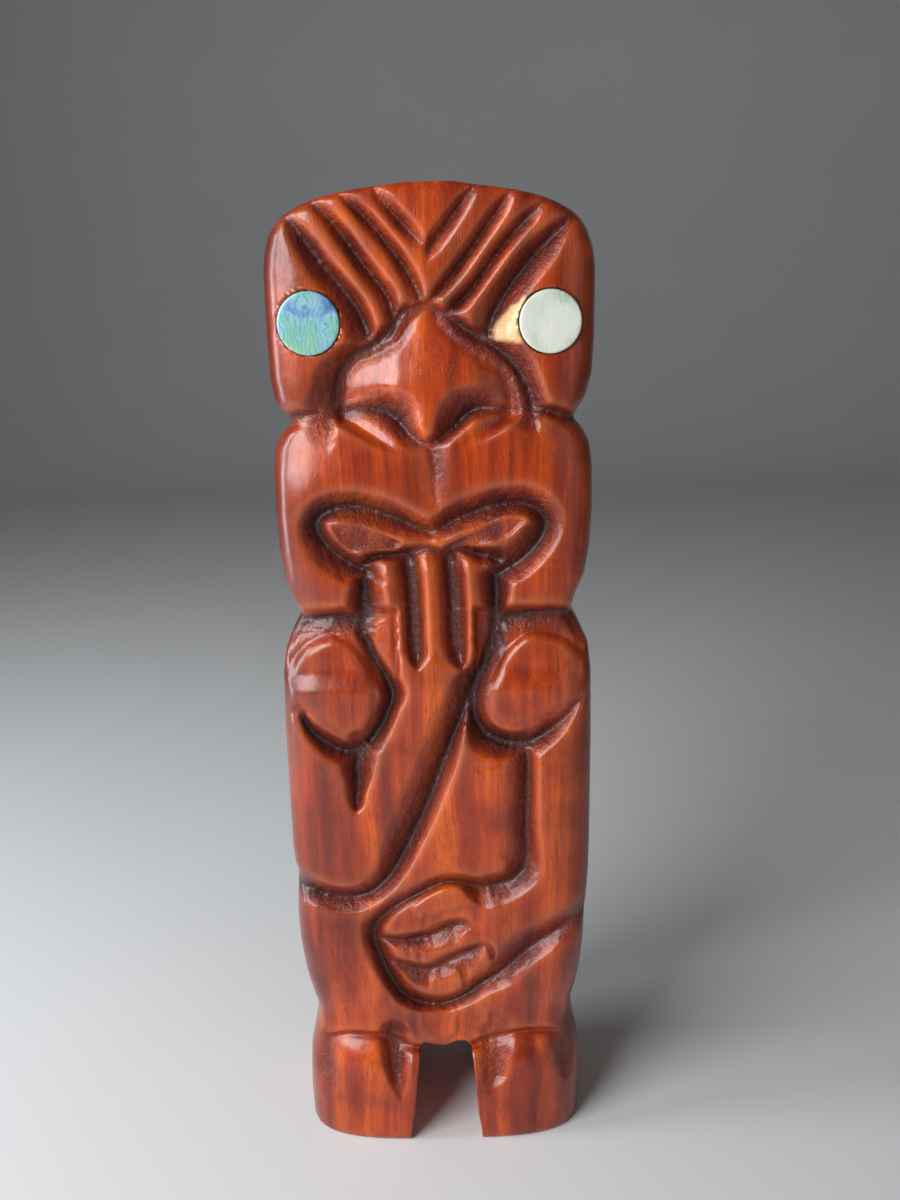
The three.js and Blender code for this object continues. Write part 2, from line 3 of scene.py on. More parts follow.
import bpy
import numpy as np
from mathutils import Euler, Matrix, Vector


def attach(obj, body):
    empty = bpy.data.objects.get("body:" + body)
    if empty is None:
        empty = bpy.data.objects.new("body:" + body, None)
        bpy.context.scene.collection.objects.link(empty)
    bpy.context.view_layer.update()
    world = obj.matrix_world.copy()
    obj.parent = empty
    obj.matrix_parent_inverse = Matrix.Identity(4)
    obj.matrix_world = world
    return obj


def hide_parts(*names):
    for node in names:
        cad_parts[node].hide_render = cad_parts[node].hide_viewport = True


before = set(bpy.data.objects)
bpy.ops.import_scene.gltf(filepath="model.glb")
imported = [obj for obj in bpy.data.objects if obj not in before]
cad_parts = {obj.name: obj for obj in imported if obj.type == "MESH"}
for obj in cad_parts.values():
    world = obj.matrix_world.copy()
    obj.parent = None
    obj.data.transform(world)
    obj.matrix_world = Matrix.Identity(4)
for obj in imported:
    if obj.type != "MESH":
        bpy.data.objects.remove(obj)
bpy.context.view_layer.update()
MM = 0.001


# Where it is photographed.
# A hand-held camera straight in front of the head and looking a little down, rolled by
# one degree, so that the crown leans to the left of the picture. The figure stands on a
# pale sheet that curves up behind it, by a tall window on the left.
EYE = np.array([2.7, -213.4, 166.9])        # mm
LOOK_DOWN, LEAN = 14.2, 1.04                # degrees

camera = bpy.data.objects.new("camera", bpy.data.cameras.new("camera"))
camera.data.lens, camera.data.sensor_width = 33.0, 36.0
camera.data.clip_start = 0.01
camera.matrix_world = (
    Matrix.Translation(Vector(EYE * MM))
    @ Euler((math.radians(90 - LOOK_DOWN), 0, 0)).to_matrix().to_4x4()
    @ Matrix.Rotation(math.radians(-LEAN), 4, "Z")
)
bpy.context.scene.collection.objects.link(camera)
bpy.context.scene.camera = camera
bpy.context.scene.view_settings.view_transform = "Standard"


def node(tree, kind, put=None, **settings):
    """Adds a shader node. `put` maps its input names or numbers to values or sockets."""
    made = tree.nodes.new("ShaderNode" + kind)
    for name, value in settings.items():
        setattr(made, name, value)
    for key, value in (put or {}).items():
        if isinstance(value, bpy.types.NodeSocket):
            tree.links.new(value, made.inputs[key])
        else:
            made.inputs[key].default_value = value
    return made


def new_material(name):
    """An empty node material and its Principled BSDF, already joined to the output."""
    material = bpy.data.materials.new(name)
    material.use_nodes = True
    tree = material.node_tree
    tree.nodes.clear()
    shader = node(tree, "BsdfPrincipled")
    node(tree, "OutputMaterial", {"Surface": shader.outputs["BSDF"]})
    return material, tree, shader


def new_piece(name, verts_mm, faces, material, smooth=True):
    """A mesh object at the origin, from vertices in millimetres."""
    mesh = bpy.data.meshes.new(name)
    mesh.from_pydata((np.asarray(verts_mm) * MM).tolist(), [], faces)
    mesh.polygons.foreach_set("use_smooth", [smooth] * len(mesh.polygons))
    mesh.materials.append(material)
    mesh.update()
    piece = bpy.data.objects.new(name, mesh)
    bpy.context.scene.collection.objects.link(piece)
    return piece


SHEET_WIDE, SHEET_NEAR, SHEET_FAR, SHEET_UP, SHEET_BEND = 3000, -1200, 900, 1600, 500
paper, tree, shader = new_material("paper_sheet")
coords = node(tree, "TexCoord").outputs["Object"]
mottle = node(tree, "TexNoise", {"Vector": coords, "Scale": 9.0, "Detail": 4.0})
tone = node(tree, "ValToRGB", {"Fac": mottle.outputs["Fac"]})
tone.color_ramp.elements[0].color = (0.74, 0.73, 0.71, 1)
tone.color_ramp.elements[1].color = (0.79, 0.78, 0.76, 1)
tree.links.new(tone.outputs["Color"], shader.inputs["Base Color"])
shader.inputs["Roughness"].default_value = 0.85
turn = np.linspace(0, math.pi / 2, 17)
run = [(SHEET_NEAR, 0.0)]
run += [(SHEET_FAR + SHEET_BEND * math.sin(a), SHEET_BEND * (1 - math.cos(a))) for a in turn]
run += [(SHEET_FAR + SHEET_BEND, SHEET_UP)]
sheet_verts = [(side * SHEET_WIDE / 2, y, z) for y, z in run for side in (-1, 1)]
sheet_faces = [(2 * i, 2 * i + 1, 2 * i + 3, 2 * i + 2) for i in range(len(run) - 1)]
new_piece("paper_sheet", sheet_verts, sheet_faces, paper)


def soft_light(name, place, aim, wide, tall, watts, colour):
    """A rectangular area light at `place` that faces `aim`, all in mm."""
    lamp = bpy.data.lights.new(name, "AREA")
    lamp.shape, lamp.size, lamp.size_y = "RECTANGLE", wide * MM, tall * MM
    lamp.energy, lamp.color = watts, colour
    holder = bpy.data.objects.new(name, lamp)
    line = Vector(aim) - Vector(place)
    turned = line.to_track_quat("-Z", "Y").to_matrix().to_4x4()
    holder.matrix_world = Matrix.Translation(Vector(place) * MM) @ turned
    bpy.context.scene.collection.objects.link(holder)


soft_light("window", (-340, -330, 330), (0, 0, 110), 340, 360, 3.4, (0.92, 0.96, 1.0))
soft_light("window_side", (-460, -60, 200), (0, 0, 110), 120, 420, 1.5, (0.85, 0.92, 1.0))
soft_light("room_right", (420, -420, 200), (0, 0, 90), 400, 400, 0.25, (1.0, 0.94, 0.88))

world = bpy.data.worlds.new("room")
bpy.context.scene.world = world
world.use_nodes = True
world.node_tree.nodes["Background"].inputs["Color"].default_value = (0.9, 0.93, 1.0, 1)
world.node_tree.nodes["Background"].inputs["Strength"].default_value = 0.08


# The carved figure.
# One upright billet of close-grained wood, carved on its front with V gouges and a knife,
# stained red-brown and lacquered. Its sides and back are only rounded over. It stands on
# the soles of its two feet, with an opening between the legs.
HEIGHT, DEPTH = 190.0, 34.0
FACE_ROUND, FOOT_ROUND, BACK_ROUND = 7.0, 3.6, 9.0     # superellipse powers of the plan
ROUND_FROM, ROUND_TO = 12.0, 62.0                      # heights where the plan changes
SOLE_EASE = 0.7
CELL = 0.44                                            # mm between mesh points

# Half widths at each height: [height, wearer's right, wearer's left].
SIDES = np.array([
    [0, 29.2, 28.8], [9, 29.5, 29.1], [15.6, 29.1, 28.8], [19.7, 28.2, 28.0],
    [24.4, 27.2, 27.0], [27.5, 27.1, 27.0], [31, 27.9, 27.8], [37, 28.9, 28.7],
    [45, 29.6, 29.2], [51, 29.7, 29.2], [55, 29.4, 29.6], [59, 29.1, 29.8],
    [61.2, 29.1, 29.9], [62.2, 29.6, 29.9], [66, 29.9, 30], [90, 30, 30], [102, 29.8, 29.8],
    [106.7, 29.1, 29.2], [110.3, 27.6, 27.4], [112.6, 25.9, 26.1], [113.5, 25.1, 25.6],
    [114.4, 25.8, 26.0], [116.8, 27.2, 26.6], [120.7, 28.5, 28.3], [126, 29.2, 29.2],
    [133, 29.5, 29.6], [141, 29.4, 29.5], [145.4, 28.9, 28.9], [147.9, 27.5, 27.5],
    [149.2, 25.9, 26.2], [149.8, 25.4, 25.8], [151.2, 27.0, 26.6], [153.6, 28.5, 28.1],
    [157.6, 29.2, 29.2], [164, 29.4, 29.6], [176, 29.4, 29.6], [179, 29.0, 29.2],
    [181.9, 28.2, 28.2], [183.8, 27.0, 27.0], [185.3, 25.4, 25.4], [186.7, 22.9, 22.8],
    [187.9, 19.8, 19.6], [188.8, 15.8, 15.2], [189.5, 10.0, 9.6], [190, 3.5, 4.5],
])
# How far the front stands out at each height.
FRONT = np.array([
    [0, 16.6], [2, 17], [13, 17], [18, 16.2], [22, 15.3], [25, 14.6], [29, 14.5],
    [34, 15.5], [42, 16.6], [50, 17], [187.5, 17], [189.2, 16.4], [190, 15.4],
])


def faired(table, column, z, soften):
    """The table's column read at heights z, its corners rounded over `soften` mm: straight
    lines between the rows, averaged under a bell curve."""
    shifts = np.linspace(-2, 2, 17)
    bell = np.exp(-shifts ** 2)
    reads = [np.interp(z + s * soften, table[:, 0], table[:, column]) for s in shifts]
    return np.tensordot(bell / bell.sum(), np.array(reads), 1)


def plan_power(z):
    t = np.clip((z - ROUND_FROM) / (ROUND_TO - ROUND_FROM), 0, 1)
    return FOOT_ROUND + (FACE_ROUND - FOOT_ROUND) * t * t * (3 - 2 * t)


def sole_ease(z):
    t = np.clip(SOLE_EASE - z, 0, SOLE_EASE)
    return SOLE_EASE - np.sqrt(SOLE_EASE ** 2 - t ** 2)


def rows_of_heights():
    """Heights of the mesh rows, equally spaced along the outline of the figure."""
    z = np.linspace(0, HEIGHT, 8000)
    w = np.interp(z, SIDES[:, 0], SIDES[:, 1:].mean(1))
    run = np.concatenate([[0], np.cumsum(np.hypot(np.diff(z), np.diff(w)))])
    return np.interp(np.linspace(0, run[-1], int(run[-1] / CELL)), run, z)


def round_of_directions():
    """The columns of the mesh as directions (a, b) from the upright middle line, on a square
    of half side 1: from the wearer's right over the front to the left, then over the back.
    The front is spaced by CELL and the sides and the back more widely, except in the middle
    of the back, which repeats the middle of the front."""
    a = np.linspace(-1, 1, 4001)
    r = (1 + np.abs(a) ** FACE_ROUND) ** (-1 / FACE_ROUND)
    run = np.concatenate([[0], np.cumsum(np.hypot(np.diff(30 * a * r), np.diff(17 * r)))])
    front = np.interp(np.linspace(0, run[-1], int(run[-1] / CELL)), run, a)
    side_near, side_far = np.array([0.96, 0.9, 0.82, 0.7, 0.5, 0.25]), np.array([0.0, -0.35, -0.7, -0.9])
    middle = front[np.abs(front) < 0.3][::-1]
    flank = np.array([0.96, 0.89, 0.80, 0.70, 0.60, 0.49, 0.38])
    front_way = np.concatenate([np.stack([-1 + 0 * side_near, -side_near[::-1]], 1),
                                np.stack([front, -1 + 0 * front], 1),
                                np.stack([1 + 0 * side_near, -side_near], 1)])
    back_a = np.concatenate([flank, middle, -flank[::-1]])
    back_way = np.concatenate([np.stack([1 + 0 * side_far, -side_far], 1),
                               np.stack([back_a, 1 + 0 * back_a], 1),
                               np.stack([-1 + 0 * side_far, -side_far[::-1]], 1)])
    return front_way, back_way


Z_ROWS = rows_of_heights()
FRONT_WAY, BACK_WAY = round_of_directions()
N_ROWS, N_FRONT, N_BACK = len(Z_ROWS), len(FRONT_WAY), len(BACK_WAY)

# The opening between the legs: how far its two walls stand from the middle at each
# height, and the height of its arch across it.
SHIN_RIGHT = np.array([[0, -7.15], [2.5, -7.0], [6.5, -6.3], [12.6, -5.7], [18, -5.3], [22, -5.05]])
SHIN_LEFT = np.array([[0, 7.35], [2.5, 7.2], [6.5, 6.5], [12.6, 6.1], [18, 5.8], [21.4, 5.5]])
ARCH = np.array([[-5.1, 21.7], [-4.2, 22.6], [-1.7, 21.9], [0.4, 21.9], [2.6, 22.8], [4.4, 22.8],
                 [5.5, 21.4]])
ARCH_ROW = int(np.argmin(np.abs(Z_ROWS - 22.2)))


def drawn_to_gap(x, z, columns):
    """Slides the middle columns of points sideways onto the walls of the opening, and the
    rows near its arch up or down onto the arch. Returns x and z."""
    right = np.interp(z, SHIN_RIGHT[:, 0], SHIN_RIGHT[:, 1])
    left = np.interp(z, SHIN_LEFT[:, 0], SHIN_LEFT[:, 1])
    x_right, x_left = x[ARCH_ROW, columns[0]], x[ARCH_ROW, columns[1]]
    far = 15.0
    slid = np.select(
        [x < -far, x < x_right, x < x_left, x < far],
        [x, -far + (x + far) * (right + far) / (x_right + far),
         right + (x - x_right) * (left - right) / (x_left - x_right),
         left + (x - x_left) * (far - left) / (far - x_left)], x)
    near = np.clip((40 - z) / 16, 0, 1)
    x = x + (slid - x) * near
    arch = np.interp(x, ARCH[:, 0], ARCH[:, 1]) - Z_ROWS[ARCH_ROW]
    beside = np.clip((12 - np.abs(x - 0.2)) / 6, 0, 1)
    arch_z = Z_ROWS[ARCH_ROW]
    lift = np.clip(np.where(z < arch_z, z / arch_z, (32 - z) / (32 - arch_z)), 0, 1)
    return x, z + arch * beside * lift ** 2


def billet(ways):
    """The billet before carving. At each height its plan is a superellipse: a point in the
    direction (a, b) of the square lies at (w a, d b) / (|a|^n + |b|^n) ^ (1/n), where w is
    the half width of that side and d how far the front or the back stands out."""
    z = np.repeat(Z_ROWS[:, None], len(ways), 1)
    a, b = ways[None, :, 0], ways[None, :, 1]
    front, back = plan_power(z), np.full_like(z, BACK_ROUND)
    blend = np.clip((b + 0.25) / 0.5, 0, 1)
    n = front + (back - front) * blend
    wide = np.where(a < 0, faired(SIDES, 1, z, 0.45), faired(SIDES, 2, z, 0.45)) - sole_ease(z)
    reach = (np.abs(a) ** n + np.abs(b) ** n) ** (1 / n)
    x = wide * a / reach
    stand = np.where(b < 0, faired(FRONT, 1, z, 0.8), DEPTH / 2 - np.clip(z - 188, 0, 2) * 0.5)
    return x, z, n, wide, stand - sole_ease(z), b / reach


def stood_out(x, z, n, wide, stand, share):
    """Depths of the points after some of them have been slid sideways."""
    u = np.clip(np.abs(x) / wide, 0, 1)
    return stand * np.where(u < 0.55, np.sign(share) * (1 - u ** n) ** (1 / n), share)


arch_x = billet(FRONT_WAY)[0][ARCH_ROW]
front_right = int(np.argmin(np.abs(arch_x - SHIN_RIGHT[-1, 1])))
front_left = int(np.argmin(np.abs(arch_x - SHIN_LEFT[-1, 1])))
back_left = int(np.argmin(np.abs(BACK_WAY[:, 0] - FRONT_WAY[front_left, 0]) + (BACK_WAY[:, 1] < 1)))
back_right = back_left + front_left - front_right

grids = []
for ways, columns in ((FRONT_WAY, (front_right, front_left)), (BACK_WAY, (back_right, back_left))):
    x, z, n, wide, stand, share = billet(ways)
    x, z = drawn_to_gap(x, z, columns)
    grids.append(np.stack([x, stood_out(x, z, n, wide, stand, share), z], -1))
front_grid, back_grid = grids

# The carver's cuts, as they are seen from the eye point on the upright plane that touches
# the face. Each row is [x, z, reach to the left of travel, reach to the right, depth].
BROW = [
    [[-9.3, 189.2, 0.3, 0.3, 0.4], [-8, 187.2, 1.7, 1.1, 1.4], [-5.6, 184.4, 2.1, 1.4, 2.5],
     [-3.2, 181.8, 2, 1.4, 2.6], [-1.6, 180.2, 1.3, 1.2, 1.8], [-1, 179.2, 0.3, 0.3, 0.3]],
    [[-14.9, 187.9, 0.3, 0.3, 0.4], [-13.3, 186.6, 1.5, 0.9, 1.4], [-10.6, 184.1, 1.9, 1.4, 2.6],
     [-7.9, 181, 1.9, 1.4, 3], [-5, 177.2, 1.9, 1.5, 3], [-2.8, 174, 1.6, 2, 2.9],
     [-1.6, 171.6, 0.9, 2.2, 2.4]],
    [[-20.1, 186.7, 0.3, 0.3, 0.4], [-18.2, 185.6, 1.5, 1.2, 1.6], [-15.2, 182.2, 2, 1.7, 3],
     [-12.1, 178, 1.9, 1.9, 3.1], [-9.3, 174.2, 2, 2, 3.2], [-7.1, 171, 2.1, 2.1, 3.2],
     [-6.2, 167.8, 1.2, 2, 3.2]],
    [[-24.4, 184.9, 0.3, 0.3, 0.4], [-22.8, 183.4, 1.3, 2, 1.8], [-20.4, 179.9, 2.2, 2.8, 3.2],
     [-17.8, 176.3, 2.2, 3.2, 3.6], [-14.6, 172.4, 2.2, 3.6, 4], [-12.2, 169, 2.2, 3.6, 4.2],
     [-10.7, 165.6, 1.9, 4.5, 4.2]],
    [[8.3, 189.1, 0.3, 0.3, 0.4], [6.4, 187, 1.3, 1.2, 1.8], [3.9, 183.8, 1.6, 1.6, 2.6],
     [1.8, 181.2, 1.7, 1.6, 2.6], [0.5, 179.4, 1.6, 1.4, 2.2], [-0.2, 177.4, 0.3, 0.3, 0.4]],
    [[14.6, 188.5, 0.3, 0.3, 0.4], [12.8, 186.2, 1.4, 1.3, 1.8], [10.2, 182.7, 1.6, 1.6, 2.7],
     [7.4, 178.9, 1.6, 1.6, 2.8], [4.6, 175.3, 1.6, 1.5, 2.8], [2.2, 172.6, 1.5, 1.3, 2.5],
     [0.6, 170.8, 0.8, 0.8, 1.6]],
    [[19.8, 186.4, 0.3, 0.3, 0.4], [17.6, 184.3, 1.4, 1.3, 1.8], [14.6, 181.3, 1.5, 1.7, 2.8],
     [11.6, 177.7, 1.5, 1.8, 3], [8.4, 173.5, 1.6, 1.7, 3], [5.4, 170.2, 1.7, 1.8, 3],
     [3.2, 168.4, 1.4, 1.4, 2.6]],
    [[25.2, 184.1, 0.3, 0.3, 0.4], [22.8, 182.2, 1.6, 1.8, 2.2], [19.6, 179.3, 3.2, 2.4, 3.4],
     [16.4, 175.8, 3.3, 2.7, 3.8], [13.2, 171.6, 3.2, 2.9, 4], [11, 168, 4.2, 3.2, 4.2],
     [9.9, 165, 5.2, 3.4, 4.2]],
]
NOSE_SIDES = [
    [[-1.6, 169.6, 1.6, 1.2, 1.8], [-4.6, 168.6, 3, 1.6, 3], [-7.2, 165.2, 3.1, 2, 3.6],
     [-10, 163, 2.9, 2.6, 4], [-13.6, 161.4, 2.2, 3, 4], [-15.9, 158.2, 1.9, 4.4, 4],
     [-16.7, 154.8, 2.2, 5.2, 3.8], [-17.1, 151.8, 2.4, 6.6, 3.4]],
    [[0.9, 169.2, 1.2, 1.6, 1.8], [3, 167.9, 1.6, 2.6, 3], [6.4, 165.4, 2.2, 3.3, 3.6],
     [9.6, 163.6, 2.8, 4.2, 4], [12.8, 161.3, 3.6, 3.4, 4], [15.4, 158.3, 3.4, 3.2, 4],
     [17.2, 155.2, 2.8, 4.2, 3.8], [18, 152.2, 3.2, 5, 3.4]],
]
LIP = [
    [[-29, 149.9, 1.4, 1.2, 1.2], [-24.6, 151, 1.6, 1.4, 1.7], [-20.6, 151.6, 1.5, 1.5, 2.6],
     [-16.6, 152.1, 1.2, 2, 3.2], [-12.4, 152.2, 2.4, 2.3, 3.8], [-9, 151.9, 4.1, 3.2, 4.2],
     [-6.2, 150.2, 4.8, 3.2, 4.2], [-3.8, 147.4, 2.6, 2.6, 3.4], [-1.2, 145.8, 1.8, 1.9, 2.4],
     [1.4, 146.6, 2.4, 1.5, 2.6], [4.2, 149, 4.4, 1.6, 4], [6.8, 151.4, 4.8, 2, 4.4],
     [9.6, 152, 3.6, 1.8, 3.6], [12.6, 151.6, 1.2, 0.8, 2.2], [17.4, 152, 1.4, 1.3, 3],
     [21.2, 151.2, 1.7, 1.5, 2.6], [24.8, 150, 1.6, 1.5, 1.7], [29, 149.6, 1.4, 1.2, 1.2]],
    [[0.1, 145, 2.8, 3.2, 1.7], [0.2, 140, 2.6, 3.2, 1.2], [0.3, 134, 1.2, 1.6, 0.4]],
]
MOUTH = [
    [[-0.6, 129.8, 1.6, 3.2, 3.2], [-3.4, 131, 2.6, 2.6, 3.6], [-6.8, 132.6, 3.4, 2.9, 3.8],
     [-10.8, 134.2, 3.6, 3, 3.9], [-15, 134.9, 3.3, 3.1, 4], [-18.6, 134.3, 2.6, 3.4, 4],
     [-20.8, 132.6, 2.2, 3.4, 4], [-20.9, 130.6, 2.4, 3.8, 4], [-19.6, 128.2, 2.3, 4.2, 4],
     [-17.4, 126, 2.2, 4.4, 4], [-14.8, 124.2, 2.2, 4.4, 4.2], [-12, 122.8, 2.6, 3.8, 4.4]],
    [[1, 130.6, 3.2, 2.2, 3.2], [4.6, 132.6, 3, 3, 3.6], [8.4, 134, 3.3, 3.6, 3.8],
     [12, 134.8, 3.5, 3, 3.9], [15.4, 135, 3.6, 2.8, 4], [18, 134.2, 3.8, 2.4, 4],
     [19.9, 132.2, 3.6, 2.8, 4], [20, 130.2, 3.4, 3.6, 4], [18.6, 127.6, 3.4, 4.2, 4],
     [16.6, 125.4, 3.4, 4.4, 4], [14.2, 123.6, 3.5, 5, 4.2], [12, 122.2, 3, 3.6, 4.4]],
    [[-13, 124.2, 1.6, 1.4, 4.2], [-10.6, 125.6, 1.5, 1, 4], [-7.6, 125.9, 1.1, 1.4, 3.8],
     [-4.4, 126.4, 1.4, 1.6, 3.6], [-1.2, 126.9, 1.2, 1.2, 3], [2, 126.2, 0.9, 1.2, 3],
     [5.4, 126.6, 1.4, 1.4, 3.6], [8.6, 126, 1.7, 2.4, 4], [11.6, 124.6, 3.2, 2.4, 4.4]],
]
LEAVES = [
    [[-18.4, 131.5, 0.5, 0.5, 0.9], [-15, 129.4, 2.4, 2.6, 1], [-11.6, 128.8, 2, 1.9, 1.1],
     [-8.4, 128.2, 1.2, 1.2, 1.4], [-6.6, 128, 0.5, 0.5, 1.8]],
    [[15.8, 131.6, 0.5, 0.5, 0.9], [12.6, 130.3, 1.8, 1.8, 1], [8.8, 129, 1.3, 1.3, 1.2],
     [5, 127.9, 0.8, 0.8, 1.6], [2.2, 126.8, 0.5, 0.5, 2]],
]
NECK = [
    [[-29, 113.6, 1.2, 2.2, 1.2], [-25.4, 114.2, 1.1, 4.4, 2], [-22.2, 114.4, 1, 5, 3],
     [-19, 114.5, 1.4, 4.4, 3.8], [-16.2, 114.2, 2.4, 4.6, 4.2], [-13.6, 113.4, 2.6, 4, 4.4]],
    [[12.2, 113.6, 2, 4.6, 4.4], [15.4, 114.3, 1.9, 4.4, 4.2], [18.6, 114.8, 1.3, 4.6, 3.6],
     [22, 115, 1, 5.4, 2.8], [25.2, 114.6, 1, 5, 2], [29, 113.8, 1.2, 2.4, 1.2]],
]
SHOULDERS = [
    [[-13, 121, 3, 2.6, 4.4], [-13.1, 118, 4.2, 3.2, 4.4], [-13.2, 114.8, 4.2, 3.6, 4.4],
     [-13.4, 112.6, 1.3, 3.4, 4.4], [-12.8, 110.2, 1.1, 2.8, 4.4], [-11.3, 106.6, 1.1, 2.6, 4.4],
     [-9.5, 103, 1.4, 2.8, 4.4], [-8.5, 99.6, 2.9, 2.8, 4.4], [-9.2, 96.2, 2.2, 2.7, 4.2],
     [-10.8, 92.8, 2.4, 2.6, 4.2], [-13, 90, 3.2, 2.4, 4.2]],
    [[-25.4, 95.4, 1.0, 1.0, 1.6], [-25.1, 94.2, 1.4, 1.2, 2.4], [-23.6, 91.8, 2.2, 2, 3],
     [-21, 89.6, 2.4, 2.8, 3.6], [-18, 88.3, 2.3, 3.6, 4], [-15.2, 87.8, 2.6, 3.6, 4.2]],
    [[-14.6, 88.6, 3.6, 3.8, 4.2], [-15.4, 85.4, 3.7, 4, 3.9], [-15.5, 82, 2.9, 3, 3.5],
     [-15.7, 79, 1.8, 2.5, 3], [-16, 76.6, 1.6, 1.6, 2.2], [-16.2, 75.2, 0.4, 0.4, 0.6]],
    [[11, 121.5, 3.6, 3, 4.4], [11.2, 118, 3, 3, 4.6], [11.1, 114.4, 2.2, 2.7, 4.6],
     [10.6, 110.8, 3.6, 2.2, 4.6], [9.6, 107.4, 3, 1.6, 4.6], [8.3, 104.2, 3.2, 1.4, 4.6],
     [7, 100.6, 3.2, 2.6, 4.6], [6.7, 97.2, 3.1, 2.6, 4.6], [7.3, 93.9, 3, 3, 4.6],
     [9.6, 91, 2.4, 5, 4.6], [13, 89.4, 2.6, 4.6, 4.4], [16.4, 89.2, 2.8, 4.4, 4],
     [19.4, 90.4, 2.8, 3.3, 3.6], [22.2, 92.4, 2.6, 2.7, 2.8], [24.8, 94.9, 1.6, 1.6, 1.8],
     [27, 97.8, 0.3, 0.3, 0.4]],
]
FINGERS = [
    [[-4.4, 125.2, 2.2, 3, 3.4], [-4.1, 121.6, 2.5, 3, 3.4], [-3.8, 116, 2.5, 2.8, 3.4],
     [-3.8, 110.6, 2.6, 2.7, 3.4], [-3.8, 107.2, 2.7, 2.2, 3.2], [-3.8, 105.2, 1.7, 1.3, 2.4],
     [-3.7, 103.8, 0.3, 0.3, 0.3]],
    [[3, 125.2, 2.2, 2.6, 3.4], [3.2, 121.6, 3, 2.8, 3.4], [3.7, 116, 2.8, 2.9, 3.4],
     [3.8, 110.6, 2.8, 3, 3.4], [4.1, 107, 2.4, 2.6, 3.2], [4.6, 105, 1.5, 1.8, 2.4],
     [4.9, 103.4, 0.3, 0.3, 0.3]],
]
ARMS = [
    [[-31, 62.8, 2.4, 3.2, 1.6], [-28.4, 61.4, 2.4, 3.4, 1.8], [-26.2, 59.8, 2.5, 3.4, 2.5],
     [-23.6, 58.3, 2.4, 3.4, 3.2], [-20.2, 57.5, 2.1, 4, 3.4], [-16.6, 57.5, 2.2, 3.8, 3.5],
     [-13.2, 58.8, 3, 3.4, 3.6], [-10.2, 61.6, 3.6, 3, 3.8], [-7.6, 65.6, 4.6, 2.9, 4],
     [-5.6, 69.6, 5, 2.9, 4], [-3.4, 74.2, 5.3, 2.9, 4], [-1.4, 79.2, 5.1, 3, 4],
     [0.6, 84.4, 4.9, 3, 4], [2.2, 88.6, 5, 2.4, 4.2], [4, 93, 4.9, 1.6, 4.4],
     [5.5, 97.2, 4.6, 1.6, 4.6], [6.6, 100.6, 4, 1.6, 4.6], [7.6, 103.2, 2.8, 1.4, 4.6]],
    [[17, 87, 2.2, 4.2, 3.6], [17.1, 82, 2.1, 4.4, 3.4], [17, 76, 2.2, 4.4, 3.4],
     [16.9, 70, 2.5, 4.4, 3.4], [17, 66, 2.9, 5, 3.4], [16.2, 62.6, 4, 5.2, 3.5],
     [13.4, 60.2, 4.4, 2.9, 3.5], [10.4, 59.3, 5.2, 2.6, 3.5], [7.4, 59, 4.6, 2.2, 3.4],
     [4.4, 59.7, 1.6, 2.2, 3], [2, 60.1, 1.4, 2.2, 2.8], [0, 59.8, 1.4, 2.2, 2.8],
     [-2.4, 58.9, 1.5, 2, 2.8], [-5.2, 57.3, 1.6, 2, 2.8], [-7.8, 55.8, 1.6, 2.2, 3],
     [-10.6, 53.8, 1.8, 2.4, 3.2], [-13.2, 51, 2.2, 2.8, 3.7], [-13.6, 48.2, 2.6, 2.8, 4],
     [-12.6, 44.8, 2.6, 3, 4], [-11.4, 41.4, 2.8, 2.8, 4], [-9.8, 38, 2.6, 2.6, 4],
     [-7.8, 35.2, 2.4, 2.8, 4], [-5, 33.5, 2.2, 2.7, 3.8], [-1.6, 33, 2.2, 2.4, 3.6],
     [1.4, 33.5, 2, 2.6, 3.6], [4.6, 35.1, 2.2, 3, 3.6], [8, 37.7, 2.6, 3.6, 3.6],
     [11.2, 39.8, 3.2, 4.2, 3.6], [14.2, 42.2, 4.8, 3.6, 3.6], [17.2, 45.2, 4.4, 3.9, 3.4],
     [20.4, 47.6, 3.8, 3.9, 3.2], [23.6, 49.8, 3.4, 3.7, 2.8], [27.2, 52.8, 2.7, 2.9, 2.2],
     [31, 56.2, 2.4, 2.6, 1.8]],
]
BELLY_HAND = [
    [[-13.2, 48.1, 0.9, 1.0, 3.2], [-11.2, 47.8, 1.3, 1.5, 2.8], [-8.4, 47.4, 1.6, 2.2, 2.9],
     [-5.6, 47.7, 1.6, 2.8, 3],
     [-3, 48.3, 1.8, 3.6, 3], [0.2, 49.7, 2, 4.4, 3], [2.8, 50.8, 1.7, 4.6, 2.8],
     [4.6, 50.6, 1.6, 3.4, 2.2], [5.8, 49.8, 0.6, 1, 0.8]],
    [[-11.8, 43.2, 0.9, 1.0, 3.2], [-9.8, 42.6, 1.3, 1.8, 2.8], [-7.2, 41.6, 1.4, 3.0, 3],
     [-4.6, 40.9, 1.4, 4.2, 3],
     [-2, 41.2, 1.6, 3.8, 3], [0.6, 42.5, 1.8, 4.4, 3], [3.4, 43.9, 1.6, 4.2, 2.8],
     [6.2, 45.2, 1.2, 3.4, 2.4], [8.2, 45.9, 0.7, 1.6, 1.6], [9.7, 45.0, 0.8, 1.2, 1.6],
     [10.2, 43.2, 0.9, 1.2, 2.2]],
]
